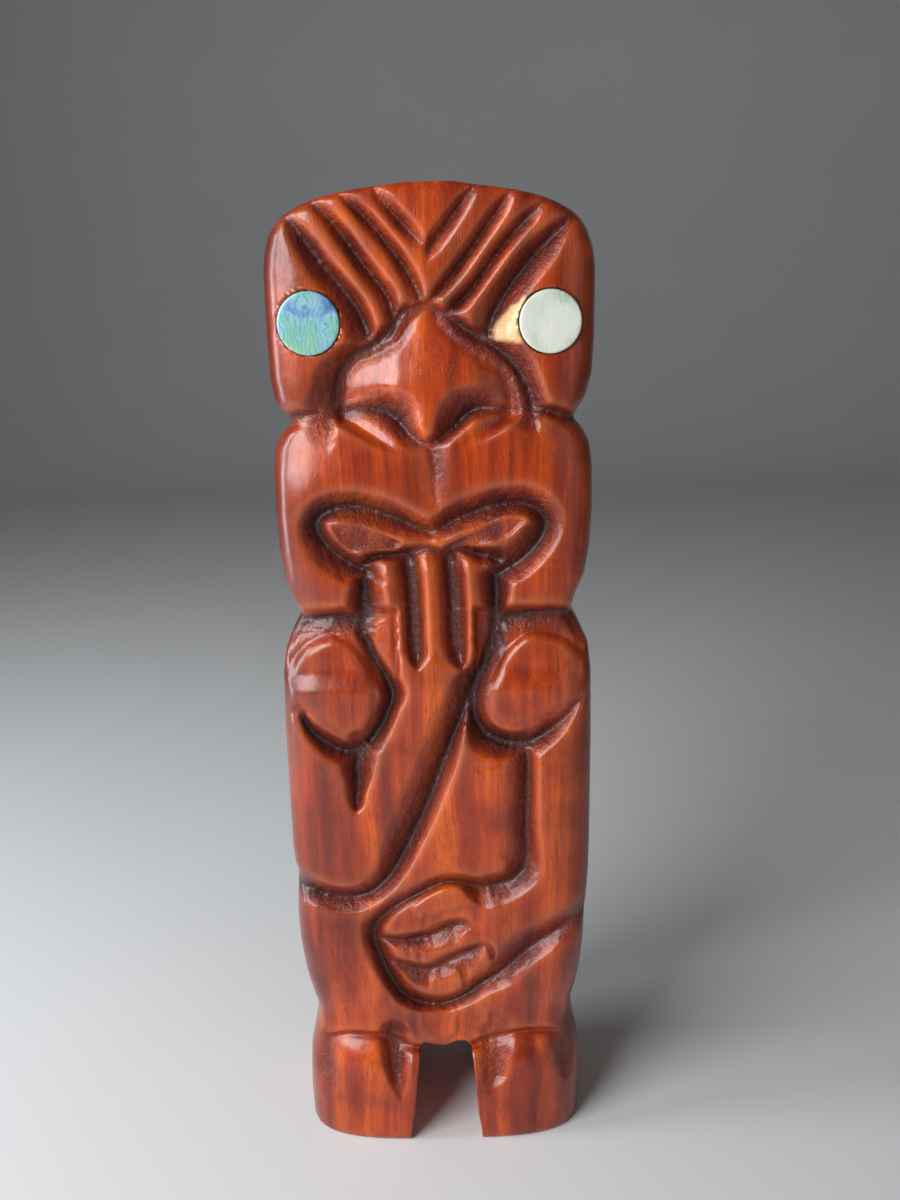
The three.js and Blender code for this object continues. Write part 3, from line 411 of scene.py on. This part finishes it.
TOES = [
    [[-24.8, 26, 2.2, 3.6, 0.8], [-24.4, 21.6, 2.4, 3.8, 1.2], [-23.6, 17.6, 2.2, 3.4, 1.1],
     [-22.8, 14, 1, 1.2, 0.4]],
    [[-10.2, 26, 3.2, 3.6, 2.4], [-10.1, 20, 3, 3.2, 2.4], [-9.9, 16.4, 2.4, 2.6, 2],
     [-9.6, 13.2, 1.5, 1.8, 1.3], [-9.4, 10.4, 0.5, 0.5, 0.4]],
    [[9.4, 26.5, 4.6, 2.6, 1.6], [9.6, 21, 4.4, 2.7, 1.7], [9.4, 16.4, 4, 2.4, 1.5],
     [9, 12.4, 1.6, 1.4, 0.6]],
    [[25.6, 28, 2.2, 3, 2.4], [25.0, 24.6, 2.6, 3.2, 2.4], [24.6, 20.6, 2.7, 2.8, 2.2],
     [24.5, 17.2, 2.2, 2.0, 1.6], [24.5, 14.9, 0.6, 0.7, 0.5]],
]


def through(rows, steps=6):
    """A smooth curve through the rows of a route, every column carried along together."""
    p = np.array(rows, float)
    p = np.concatenate([p[:1], p, p[-1:]])
    t = np.linspace(0, 1, steps, endpoint=False)[:, None]
    bits = [0.5 * (2 * b + (c - a) * t + (2 * a - 5 * b + 4 * c - d) * t ** 2
                   + (3 * b - a - 3 * c + d) * t ** 3)
            for a, b, c, d in zip(p[:-3], p[1:-2], p[2:-1], p[3:])]
    return np.concatenate(bits + [p[-1:]])


def gouge(X, Z, rows, floor):
    """The depth that one run of the gouge takes out at (X, Z), and the distance to the
    nearer rim, positive on the uncut wood. Across the run the depth falls in a straight
    line from the flat share `floor` of the reach to nothing at the rim. The blade chatters:
    the depth swells and shrinks a little about once a millimetre along the run."""
    path = through(rows)
    best = np.full(X.shape, 1e9)
    reach, deep, gone = (np.zeros(X.shape) for _ in range(3))
    start = 0.0
    for a, b in zip(path[:-1], path[1:]):
        dx, dz = b[:2] - a[:2]
        t = np.clip(((X - a[0]) * dx + (Z - a[1]) * dz) / (dx * dx + dz * dz + 1e-12), 0, 1)
        ex, ez = X - (a[0] + t * dx), Z - (a[1] + t * dz)
        far = np.hypot(ex, ez)
        nearer = far < best
        left = dx * ez - dz * ex > 0
        r = np.where(left, a[2] + (b[2] - a[2]) * t, a[3] + (b[3] - a[3]) * t)
        best = np.where(nearer, far, best)
        reach = np.where(nearer, np.maximum(r, 0.05), reach)
        deep = np.where(nearer, a[4] + (b[4] - a[4]) * t, deep)
        gone = np.where(nearer, start + t * math.hypot(dx, dz), gone)
        start += math.hypot(dx, dz)
    share = np.clip((1 - best / reach) / (1 - floor), 0, 1)
    chatter = 0.035 * np.sin(gone * 6.0 + 2.5 * np.sin(gone * 0.9)) * np.sin(gone * 0.7 + 1.0) ** 2
    return deep * share * (1 + 2 * chatter), best - reach


# Where each point of the front is seen from the eye point.
toward = front_grid - EYE
seen = EYE + toward * ((-DEPTH / 2 - EYE[1]) / toward[..., 1:2])
X, Z = seen[..., 0], seen[..., 2]

cut = np.zeros(X.shape)
rim = np.full(X.shape, 9.0)
for routes, floor in ((BROW, 0), (NOSE_SIDES, 0), (LIP, 0), (MOUTH, 0), (LEAVES, 0.8), (NECK, 0),
                      (SHOULDERS, 0.12), (FINGERS, 0.26), (ARMS, 0), (BELLY_HAND, 0), (TOES, 0.3)):
    for rows in routes:
        box = np.array(rows)
        pad = box[:, 2:4].max() + 5
        inside = ((X > box[:, 0].min() - pad) & (X < box[:, 0].max() + pad)
                  & (Z > box[:, 1].min() - pad) & (Z < box[:, 1].max() + pad))
        taken, off = gouge(X[inside], Z[inside], rows, floor)
        cut[inside] = np.maximum(cut[inside], taken)
        rim[inside] = np.minimum(rim[inside], off)

def depth_inside(X, Z, outline):
    """Distance of (X, Z) from a closed outline, positive inside: the least distance to its
    edges, signed by the number of edges that an upward line from the point crosses."""
    p = np.array(outline, float)
    best, crossings = np.full(X.shape, 1e9), np.zeros(X.shape, int)
    for a, b in zip(p, np.roll(p, -1, 0)):
        dx, dz = b - a
        t = np.clip(((X - a[0]) * dx + (Z - a[1]) * dz) / (dx * dx + dz * dz), 0, 1)
        best = np.minimum(best, np.hypot(X - a[0] - t * dx, Z - a[1] - t * dz))
        if abs(dx) > 1e-9:
            over = ((X > a[0]) != (X > b[0])) & (a[1] + (X - a[0]) * dz / dx > Z)
            crossings += over
    return np.where(crossings % 2 == 1, best, -best)


def ramp_up(v):
    v = np.clip(v, 0, 1)
    return v * v * (3 - 2 * v)


# Between the cuts the wood isn't left flat. `low` is how far it is worked down.
low = np.zeros(X.shape)

# The nose stands up from a narrow bridge to a round tip, and its two wings fall away.
NOSE = [(-0.4, 169.4), (-3.2, 166.8), (-5.6, 163.2), (-9.2, 161.2), (-12.6, 160.4), (-14.6, 158.2),
        (-15.4, 154), (-15.6, 151), (-9, 147), (-1, 143), (9, 148), (14, 151), (13.8, 154.4),
        (12.9, 157), (11.8, 158.4), (10.2, 159.4), (8.3, 160.3), (6.4, 161.4), (4.6, 162.8),
        (2.9, 164.6), (1.5, 166.4), (0.7, 168.7)]
on_nose = ramp_up(1 + depth_inside(X, Z, NOSE) / 2.2)
aside = np.abs(X - 0.8)
nose_low = 2.3 * ramp_up((Z - 155.5) / 12)
nose_low += 0.10 * np.maximum(aside - 2.5, 0) + 0.34 * np.maximum(aside - 7.2, 0)
nose_low += 0.35 * np.exp(-((X + 7.4) / 1.3) ** 2 - ((Z - 158.2) / 3) ** 2)
low += on_nose * nose_low

# The lip is rounded over at its two upper corners.
low += 1.3 * ramp_up((-X - 12) / 17) * ramp_up((Z - 136) / 11) * ramp_up((152 - Z) / 1.5)
low += 0.9 * ramp_up((X - 14) / 14) * ramp_up((Z - 138) / 10) * ramp_up((152 - Z) / 1.5)

# The fingers of the raised hand are gables: each falls away on both sides of its arris.
on_fingers = ramp_up((Z - 103.5) / 6) * ramp_up((126.4 - Z) / 0.8)
on_fingers *= ramp_up((X + 13.5) / 2) * ramp_up((10.5 - X) / 2)
gable = np.select(
    [X < -8.7, X < -4.2, X < -1.2, X < 3.2, X < 6.3],
    [0.22 * (-8.7 - X), 0.42 * (X + 8.7), 0 * X, 0.45 * (X + 1.2), 0 * X], 0.45 * (X - 6.3))
tips = 0.10 * np.clip(Z - 121.6, 0, 4) ** 2
low += on_fingers * (np.clip(gable, 0, 1.0) + tips)

# Each shoulder carries a low round boss; above it the shoulder itself is cut back.
BOSS_RIGHT = [(-36, 102.4), (-27.6, 103.6), (-26.2, 106), (-24, 108.4), (-21.5, 109.8), (-19.5, 110.2),
              (-17, 109.3), (-15, 107.3), (-13.3, 104.6), (-12, 101), (-11.7, 98.6), (-12.2, 95.5),
              (-13.2, 93), (-14.5, 91.3), (-16.2, 90.6), (-18, 91), (-20, 92.3), (-22, 94), (-24, 95.8),
              (-26, 96.6), (-36, 92)]
BOSS_LEFT = [(10.1, 94.8), (9.7, 97.4), (10.3, 100.4), (11.8, 104), (13.2, 106.5), (14.8, 108.3),
             (16.5, 109.8), (18, 110.3), (20.5, 110.1), (23.5, 109), (26.4, 106.8), (28.4, 105.4),
             (36, 104), (36, 96), (27, 97.6), (24, 96.2), (21.5, 94.8), (19.5, 93.6), (17, 92.5), (14, 92.2),
             (11.6, 93)]
for boss, (mid_x, mid_z), high in ((BOSS_RIGHT, (-19.5, 100.5), 1.15), (BOSS_LEFT, (18.5, 101), 1.3)):
    inside = depth_inside(X, Z, boss)
    side_of = ramp_up((np.abs(X) - 7) * 4) * ramp_up((29.8 - np.abs(X)) / 3.4)
    low += side_of * high * ramp_up(-inside / 1.1 + 0.15) * ramp_up((Z - 99) / 5) * ramp_up((116.5 - Z) / 2)
    low += side_of * 0.6 * np.clip(1 - inside / 1.6, 0, 1) ** 2 * (inside > 0)
    low += side_of * 0.25 * np.hypot((X - mid_x) / 9, (Z - mid_z) / 9) ** 2 * (inside > 0)
    low += side_of * 0.85 * np.exp(np.minimum(inside, 0) / 1.2) * (inside <= 0)

# The hand on the belly: a round back of the hand, and three fingers that turn under at
# their ends, with a crease at a knuckle or two.
HAND_BACK = [(-5.6, 54.4), (-3, 56.8), (0.4, 58.5), (3.6, 58.6), (6.2, 57.2), (6.9, 55), (3.6, 54.6),
             (0.6, 53.9), (-2, 52.9), (-4.2, 52.6)]
FINGER_ROOM = [(-12.6, 52), (-5, 55.2), (0, 59.6), (8, 58.5), (11, 52), (10.6, 43), (4, 37), (-3, 34),
               (-9, 36), (-12, 42), (-13.6, 48)]
on_hand = ramp_up(1 + depth_inside(X, Z, FINGER_ROOM) / 1.5)
low += on_hand * 0.75 * ramp_up(-depth_inside(X, Z, HAND_BACK) / 1.2 + 0.3) * ramp_up((11 - X) / 4)
low += on_hand * 0.5 * np.clip((-6.5 - X + 0.35 * (47 - Z)) / 4, 0, 1.2) ** 2
# Creases and knife slips: [from x, z, to x, z, half breadth, depth].
CREASES = [
    [-3.5, 50.2, -3.2, 52.8, 0.5, 0.45], [-9.2, 49.4, -9, 51, 0.35, 0.3],
    [-6.8, 41.8, -7, 44.8, 0.45, 0.4], [-4.6, 41.6, -4.8, 44.4, 0.45, 0.45],
    [-3.2, 36.8, -3, 39.6, 0.4, 0.35], [4.6, 37.2, 3.8, 41, 0.7, 1.1],
    [7.2, 83.4, 13, 84.6, 0.35, 0.25], [19, 83.6, 21, 85.2, 0.3, 0.25],
    [20, 122.6, 26.5, 122.4, 0.22, 0.22], [20.6, 124.6, 26.8, 124.2, 0.22, 0.25],
    [-25.4, 113.6, -19.6, 114.3, 0.3, 0.3], [-24.4, 112.4, -18.4, 111.2, 0.3, 0.35],
    [-25.6, 111.6, -21, 112.2, 0.25, 0.25],
]
for x0, z0, x1, z1, broad, down in CREASES:
    t = np.clip(((X - x0) * (x1 - x0) + (Z - z0) * (z1 - z0)) / ((x1 - x0) ** 2 + (z1 - z0) ** 2), 0, 1)
    off = np.hypot(X - x0 - t * (x1 - x0), Z - z0 - t * (z1 - z0))
    low += down * np.clip(1.3 - off / broad, 0, 1)

# The belly ends in a rounded tongue over the opening between the legs.
TONGUE = [(-5, 34), (-5.2, 28), (-4.4, 25.4), (-2, 24.2), (0.6, 24.6), (2.2, 26.4), (2.5, 30), (2.3, 34)]
beside_tongue = ramp_up((31.5 - Z) / 3) * ramp_up((Z - 21) / 2) * ramp_up((12 - np.abs(X + 1)) / 5)
low += 0.6 * beside_tongue * ramp_up(0.2 - depth_inside(X, Z, TONGUE) / 0.8)

# Below a sharp ledge the feet come forward again as two domes.
LEDGE = np.array([[-30, 24.0], [-28, 24.6], [-24, 26.4], [-20, 27.1], [-14, 26.7], [-10, 25.6], [-6, 23.6],
                  [0, 22.5], [5.6, 24.0], [8, 25.2], [14, 26.6], [20, 27.2], [24, 26.7], [28, 25.0], [30, 24.2]])
under = np.interp(X, LEDGE[:, 0], LEDGE[:, 1]) - Z
dome = 1 - np.sqrt(np.clip(1 - np.clip(1 - under / 11.5, 0, 1) ** 2.2, 0, 1))
low += 3.4 * ramp_up(under / 0.7) * dome

worked = low + cut * np.clip(1 - low / 4.8, 0, 1)

# A knife and paper ease the arrises: the wood falls away a little towards every rim.
EASE_DEEP, EASE_WIDE = 0.16, 0.6
eased = worked + EASE_DEEP * np.exp(-np.clip(rim, 0, None) / EASE_WIDE) * np.exp(-cut)


def blurred(grid, passes, own=2):
    """Each point averaged with its neighbours along and across, 1 : own : 1."""
    for _ in range(passes):
        p = np.pad(grid, 1, mode="edge")
        grid = (p[:-2, 1:-1] + own * p[1:-1, 1:-1] + p[2:, 1:-1]) / (own + 2)
        p = np.pad(grid, 1, mode="edge")
        grid = (p[1:-1, :-2] + own * p[1:-1, 1:-1] + p[1:-1, 2:]) / (own + 2)
    return grid


def lumps(a, b, size, seed):
    """Smooth uneven values between -1 and 1 over (a, b), about `size` mm across: a random
    grid read with smoothed steps between its points."""
    table = np.random.default_rng(seed).uniform(-1, 1, (256, 256))
    a, b = a / size + 100, b / size + 100
    i, j = np.floor(a).astype(int), np.floor(b).astype(int)
    s, t = a - i, b - j
    s, t = s * s * (3 - 2 * s), t * t * (3 - 2 * t)
    at = lambda di, dj: table[(i + di) % 256, (j + dj) % 256]
    return (at(0, 0) * (1 - s) + at(1, 0) * s) * (1 - t) + (at(0, 1) * (1 - s) + at(1, 1) * s) * t


deep = blurred(eased, 1, 6)
deep = deep + 0.06 * (1 + lumps(X, Z, 7, 1)) + 0.03 * (1 + lumps(X, Z, 2.6, 2))
rough = np.clip(cut / 2.5, 0, 1)
deep = deep + rough * 0.10 * lumps(X, Z, 1.1, 3)
facing = np.clip((-front_grid[..., 1] - 9.5) / 4.5, 0, 1)      # fades out round the sides
deep = deep * facing ** 2 * (3 - 2 * facing)

# Each point goes on along its line of sight until it is that much deeper.
carved = front_grid + toward * (deep / toward[..., 1])[..., None]
carved[..., 2] = np.clip(carved[..., 2], 0, HEIGHT)

# Round pockets for the eyes, with crisp rims: points near a rim are moved onto it.
EYES = {"right": (-21.05, 167.0), "left": (21.05, 166.65)}
DISC_R, DISC_THICK, DISC_FACE, POCKET_GAP = 5.45, 2.3, -16.9, 0.3
for ex, ez in EYES.values():
    r = np.hypot(carved[..., 0] - ex, carved[..., 2] - ez)
    rim_r = DISC_R + POCKET_GAP
    snap = np.where(np.abs(r - rim_r) < 0.26, rim_r / np.maximum(r, 1e-6), 1.0)
    carved[..., 0] = ex + (carved[..., 0] - ex) * snap
    carved[..., 2] = ez + (carved[..., 2] - ez) * snap
    floor_y = DISC_FACE + DISC_THICK + POCKET_GAP
    carved[..., 1] = np.where(r < rim_r - 0.26, floor_y, carved[..., 1])

# Rings, the walls of the opening, the soles and the crown become one closed skin.
ring = np.concatenate([carved, back_grid], 1)
n_ring = ring.shape[1]
index = np.arange(N_ROWS * n_ring).reshape(N_ROWS, n_ring)
a = index[:-1]
b = np.roll(index, -1, 1)[:-1]
c = np.roll(index, -1, 1)[1:]
d = index[1:]
quads = np.stack([a, b, c, d], -1)
keep = np.ones(quads.shape[:2], bool)
bl, br = N_FRONT + back_left, N_FRONT + back_right
keep[:ARCH_ROW, front_right:front_left] = False
keep[:ARCH_ROW, bl:br] = False
skin = quads[keep]

front_rim = np.concatenate([index[:ARCH_ROW, front_right], index[ARCH_ROW, front_right:front_left + 1],
                            index[:ARCH_ROW, front_left][::-1]])
back_rim = np.concatenate([index[:ARCH_ROW, br], index[ARCH_ROW, bl:br + 1][::-1],
                           index[:ARCH_ROW, bl][::-1]])
verts = ring.reshape(-1, 3)
WALL_STEPS = 24
share = (np.arange(1, WALL_STEPS) / WALL_STEPS)[:, None, None]
wall = verts[front_rim] * (1 - share) + verts[back_rim] * share
wall_index = len(verts) + np.arange(wall.shape[0] * wall.shape[1]).reshape(wall.shape[:2])
verts = np.concatenate([verts, wall.reshape(-1, 3)])
strip = np.concatenate([front_rim[None], wall_index, back_rim[None]])
wall_quads = np.stack([strip[:-1, :-1], strip[1:, :-1], strip[1:, 1:], strip[:-1, 1:]], -1).reshape(-1, 4)

sole_right = np.concatenate([index[0, :front_right], strip[:, 0], index[0, br + 1:]])
sole_left = np.concatenate([index[0, front_left + 1:bl], strip[::-1, -1]])
crown = index[-1]
fans = []
for loop, up in ((sole_right, False), (sole_left, False), (crown, True)):
    middle = len(verts)
    verts = np.concatenate([verts, verts[loop].mean(0)[None]])
    for p, q in zip(loop, np.roll(loop, -1)):
        fans.append((p, q, middle) if up else (q, p, middle))

# Each square is split along its more level diagonal, so that a crease runs along it.
far_y = verts[:, 1]
level = np.abs(far_y[skin[:, 0]] - far_y[skin[:, 2]]) < np.abs(far_y[skin[:, 1]] - far_y[skin[:, 3]])
halves = np.where(level[:, None, None], skin[:, [[0, 1, 2], [0, 2, 3]]], skin[:, [[0, 1, 3], [1, 2, 3]]])
faces = halves.reshape(-1, 3).tolist() + wall_quads.tolist() + [tuple(int(v) for v in f) for f in fans]

# What the finish needs to know about each point: how deep it is in a cut, and whether it is on an arris, where a
# painted highlight goes, or in a valley, where painted shade goes.
around = blurred(deep, 12)
CHIP = [(10.8, 165.2), (12.2, 167.4), (14.4, 169.4), (16.4, 170.6), (16.6, 163.2), (13.6, 163.4),
        (11.6, 163.8)]
marks = {
    "bare": ramp_up(0.5 + (depth_inside(X, Z, CHIP) + 0.25 * lumps(X, Z, 0.9, 7)) / 0.8),
    "cut": np.clip(cut / 4, 0, 1),
    # Painted shade: how much deeper a point lies than its neighbours.
    "shade_in_valleys": np.clip((deep - around) / 0.7, 0, 1),
    # Painted highlight: how far a point stands above its neighbours, away from the cuts.
    "arris": np.clip((around - deep) / 0.5, 0, 1) * np.clip(1 - cut / 1.2, 0, 1),
    # Darker towards both sides of the front, unevenly.
    "darker_to_sides": np.clip((np.abs(X - 1) - 20) / 12 + 0.25 * lumps(X, Z, 9, 5), 0, 1),
}

wood, tree, shader = new_material("lacquered_wood")
figure = new_piece("carved_tiki", verts, faces, wood)
for name, grid in marks.items():
    values = np.zeros(len(verts), np.float32)
    values[index[:, :N_FRONT].ravel()] = grid.ravel()
    layer = figure.data.attributes.new(name, "FLOAT", "POINT")
    layer.data.foreach_set("value", values)

coords = node(tree, "TexCoord").outputs["Object"]
wander = node(tree, "TexNoise", {"Vector": coords, "Scale": 22.0, "Detail": 2.0})
bend = node(tree, "VectorMath", {0: wander.outputs["Color"], 1: (0.006, 0.006, 0.0)}, operation="MULTIPLY")
bent = node(tree, "VectorMath", {0: coords, 1: bend.outputs[0]}, operation="ADD").outputs[0]
wide_way = node(tree, "Mapping", {"Vector": bent, "Scale": (210, 210, 9)}).outputs["Vector"]
fine_way = node(tree, "Mapping", {"Vector": bent, "Scale": (1500, 1500, 45)}).outputs["Vector"]
pore_way = node(tree, "Mapping", {"Vector": bent, "Scale": (3800, 3800, 420)}).outputs["Vector"]
bands = node(tree, "TexNoise", {"Vector": wide_way, "Scale": 1.0, "Detail": 3.0, "Roughness": 0.55})
streaks = node(tree, "TexNoise", {"Vector": fine_way, "Scale": 1.0, "Detail": 4.0, "Roughness": 0.6})
pores = node(tree, "TexNoise", {"Vector": pore_way, "Scale": 1.0, "Detail": 1.0})
clouds = node(tree, "TexNoise", {"Vector": coords, "Scale": 75.0, "Detail": 4.0, "Roughness": 0.6})
stain = node(tree, "ValToRGB", {"Fac": bands.outputs["Fac"]})
ramp = stain.color_ramp
ramp.elements[0].position, ramp.elements[0].color = 0.33, (0.19, 0.014, 0.003, 1)
ramp.elements[1].position, ramp.elements[1].color = 0.66, (0.66, 0.095, 0.004, 1)
mid = ramp.elements.new(0.5)
mid.color = (0.44, 0.042, 0.003, 1)
streak_share = node(tree, "MapRange", {"Value": streaks.outputs["Fac"], "From Min": 0.45, "From Max": 0.75,
                                       "To Max": 0.55}).outputs["Result"]
streaked = node(tree, "Mix", {"Factor": streak_share, "A": stain.outputs["Color"],
                              "B": (0.13, 0.012, 0.004, 1)}, data_type="RGBA").outputs["Result"]
pore_share = node(tree, "MapRange", {"Value": pores.outputs["Fac"], "From Min": 0.62, "From Max": 0.72,
                                     "To Max": 0.5}).outputs["Result"]
pored = node(tree, "Mix", {"Factor": pore_share, "A": streaked, "B": (0.06, 0.008, 0.004, 1)},
             data_type="RGBA").outputs["Result"]
cloud_share = node(tree, "MapRange", {"Value": clouds.outputs["Fac"], "From Min": 0.48, "From Max": 0.70,
                                      "To Max": 0.6}).outputs["Result"]
clouded = node(tree, "Mix", {"Factor": cloud_share, "A": pored, "B": (0.12, 0.010, 0.006, 1)},
               data_type="RGBA").outputs["Result"]
in_cut = node(tree, "Attribute", attribute_name="cut").outputs["Fac"]
valley_shade = node(tree, "Attribute", attribute_name="shade_in_valleys").outputs["Fac"]
on_arris = node(tree, "Attribute", attribute_name="arris").outputs["Fac"]
darker_to_sides = node(tree, "Attribute", attribute_name="darker_to_sides").outputs["Fac"]
# Painted shade: the cuts and the valleys are mixed towards a dark purple-brown; the colour also darkens towards
# both sides.
painted_shade_share = node(tree, "Math", {0: in_cut, 1: 0.95}, operation="MULTIPLY")
painted_shade_share = node(tree, "Math", {0: valley_shade, 1: 0.05, 2: painted_shade_share.outputs[0]}, operation="MULTIPLY_ADD")
painted_shade_share = node(tree, "Math", {0: darker_to_sides, 1: 0.7, 2: painted_shade_share.outputs[0]}, operation="MULTIPLY_ADD",
                  use_clamp=True).outputs[0]
with_painted_shade = node(tree, "Mix", {"Factor": painted_shade_share, "A": clouded, "B": (0.05, 0.010, 0.008, 1)},
               data_type="RGBA").outputs["Result"]
# Painted highlight: the arrises are lightened towards a pale orange.
arris_highlight_share = node(tree, "Math", {0: on_arris, 1: 0.30}, operation="MULTIPLY").outputs[0]
with_arris_highlight = node(tree, "Mix", {"Factor": arris_highlight_share, "A": with_painted_shade, "B": (0.62, 0.17, 0.04, 1)},
            data_type="RGBA").outputs["Result"]
bare = node(tree, "Attribute", attribute_name="bare").outputs["Fac"]
straw = node(tree, "Mix", {"Factor": streaks.outputs["Fac"], "A": (0.86, 0.60, 0.30, 1),
                           "B": (0.60, 0.30, 0.10, 1)}, data_type="RGBA").outputs["Result"]
colour = node(tree, "Mix", {"Factor": bare, "A": with_arris_highlight, "B": straw}, data_type="RGBA")
tree.links.new(colour.outputs["Result"], shader.inputs["Base Color"])
grit = node(tree, "TexNoise", {"Vector": coords, "Scale": 2300.0, "Detail": 2.0, "Roughness": 0.6})
grit_coarse = node(tree, "TexNoise", {"Vector": coords, "Scale": 700.0, "Detail": 2.0})
gloss = node(tree, "MapRange", {"Value": in_cut, "From Max": 0.5, "To Min": 0.30, "To Max": 0.42})
tree.links.new(gloss.outputs["Result"], shader.inputs["Roughness"])
coat = node(tree, "MapRange", {"Value": clouds.outputs["Fac"], "From Min": 0.3, "From Max": 0.7,
                               "To Min": 0.6, "To Max": 0.25})
tree.links.new(coat.outputs["Result"], shader.inputs["Coat Weight"])
shader.inputs["Coat Roughness"].default_value = 0.16
shader.inputs["Specular IOR Level"].default_value = 0.4
grit_share = node(tree, "MapRange", {"Value": in_cut, "From Max": 0.4, "To Min": 0.10,
                                     "To Max": 1.0}).outputs["Result"]
grit_both = node(tree, "Math", {0: grit_coarse.outputs["Fac"], 1: 1.6, 2: grit.outputs["Fac"]},
                 operation="MULTIPLY_ADD").outputs[0]
grit_high = node(tree, "Math", {0: grit_both, 1: grit_share}, operation="MULTIPLY").outputs[0]
height = node(tree, "Math", {0: streaks.outputs["Fac"], 1: 0.16, 2: grit_high},
              operation="MULTIPLY_ADD").outputs[0]
height = node(tree, "Math", {0: pore_share, 1: -0.15, 2: height}, operation="MULTIPLY_ADD").outputs[0]
relief = node(tree, "Bump", {"Height": height, "Strength": 1.0, "Distance": 0.00028})
tree.links.new(relief.outputs["Normal"], shader.inputs["Normal"])

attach(figure, "root")
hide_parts("carved_figure")


# The shell discs.
# Two round discs cut from the coloured inner layer of an abalone shell, polished, each glued into a drilled
# pocket. The wearer's right one is blue to green; the left one is painted pale, a painted reflection of light on
# the same kind of shell.
def disc_mesh(name, centre, material, seed):
    """A turned disc: rings of growing radius on a slightly uneven face, an eased rim, a
    straight edge and a flat underside."""
    ex, ez = centre
    profile = [(0.0, 0.0)] + [(r, 0.0) for r in np.linspace(0.6, DISC_R - 0.35, 9)]
    profile += [(DISC_R - 0.12, 0.05), (DISC_R, 0.25), (DISC_R, DISC_THICK), (0.0, DISC_THICK)]
    around_n = 72
    angle = np.arange(around_n) * 2 * math.pi / around_n
    middle = DISC_FACE + 0.04 * (1 + lumps(np.array([ex]), np.array([ez]), 2.4, seed))[0]
    rings, faces = [np.array([[ex, middle, ez]])], []
    for r, back in profile[1:-1]:
        x, z = ex + r * np.cos(angle), ez + r * np.sin(angle)
        wave = 0.04 * (1 + lumps(x, z, 2.4, seed)) if back < DISC_THICK else 0.0
        rings.append(np.stack([x, DISC_FACE + back + wave + 0 * x, z], -1))
    rings.append(np.array([[ex, DISC_FACE + DISC_THICK, ez]]))
    verts = np.concatenate(rings)
    k = np.arange(around_n)
    nxt = (k + 1) % around_n
    faces += [(0, 1 + p, 1 + q) for p, q in zip(k, nxt)]
    for i in range(len(profile) - 3):
        s, e = 1 + i * around_n, 1 + (i + 1) * around_n
        faces += [(s + p, e + p, e + q, s + q) for p, q in zip(k, nxt)]
    last = 1 + (len(profile) - 3) * around_n
    faces += [(last + q, last + p, len(verts) - 1) for p, q in zip(k, nxt)]
    faces = [tuple(int(v) for v in f) for f in faces]
    return new_piece(name, verts, faces, material)


def shell_material(name, seed_shift, stops, vein):
    """Polished shell: wavy growth bands warped by noise, coloured by `stops`, with thin
    darker or paler lines where the layers end."""
    material, tree, shader = new_material(name)
    coords = node(tree, "TexCoord").outputs["Object"]
    place = node(tree, "Mapping", {"Vector": coords, "Location": seed_shift, "Scale": (1000, 1000, 1000)})
    warp = node(tree, "TexNoise", {"Vector": place.outputs["Vector"], "Scale": 0.25, "Detail": 3.0})
    bent = node(tree, "VectorMath", {0: warp.outputs["Color"], 1: (5.0, 5.0, 5.0)}, operation="MULTIPLY")
    moved = node(tree, "VectorMath", {0: place.outputs["Vector"], 1: bent.outputs[0]}, operation="ADD")
    field = node(tree, "TexNoise", {"Vector": moved.outputs[0], "Scale": 0.16, "Detail": 5.0,
                                    "Roughness": 0.55})
    colours = node(tree, "ValToRGB", {"Fac": field.outputs["Fac"]})
    ramp = colours.color_ramp
    ramp.elements[0].position, ramp.elements[0].color = stops[0]
    ramp.elements[1].position, ramp.elements[1].color = stops[-1]
    for position, value in stops[1:-1]:
        ramp.elements.new(position).color = value
    lines = node(tree, "TexWave", {"Vector": moved.outputs[0], "Scale": 0.35, "Distortion": 4.0,
                                   "Detail": 2.0})
    thin = node(tree, "MapRange", {"Value": lines.outputs["Fac"], "From Min": 0.86, "From Max": 1.0,
                                   "To Max": 0.5})
    tinted = node(tree, "Mix", {"Factor": thin.outputs["Result"], "A": colours.outputs["Color"], "B": vein},
                  data_type="RGBA")
    tree.links.new(tinted.outputs["Result"], shader.inputs["Base Color"])
    shader.inputs["Roughness"].default_value = 0.22
    shader.inputs["Coat Weight"].default_value = 0.5
    shader.inputs["Coat Roughness"].default_value = 0.05
    bump = node(tree, "Bump", {"Height": field.outputs["Fac"], "Strength": 0.3, "Distance": 0.0004})
    tree.links.new(bump.outputs["Normal"], shader.inputs["Normal"])
    return material


blue = shell_material("blue_shell", (0, 0, 0), [
    (0.30, (0.06, 0.10, 0.22, 1)), (0.42, (0.16, 0.32, 0.52, 1)), (0.5, (0.30, 0.52, 0.62, 1)),
    (0.58, (0.22, 0.50, 0.44, 1)), (0.70, (0.30, 0.55, 0.36, 1))], (0.05, 0.14, 0.20, 1))
right_disc = disc_mesh("shell_disc_right", EYES["right"], blue, 11)
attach(right_disc, "root")
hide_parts("eye_disc_right")

# Painted reflection: this disc's pale cream-green colours stand in for light reflected off the shell.
pale = shell_material("pale_shell", (3, 0, 5), [
    (0.30, (0.42, 0.52, 0.42, 1)), (0.45, (0.56, 0.62, 0.50, 1)), (0.55, (0.66, 0.68, 0.58, 1)),
    (0.70, (0.74, 0.72, 0.62, 1))], (0.78, 0.78, 0.70, 1))
left_disc = disc_mesh("shell_disc_left", EYES["left"], pale, 12)
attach(left_disc, "root")
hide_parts("eye_disc_left")
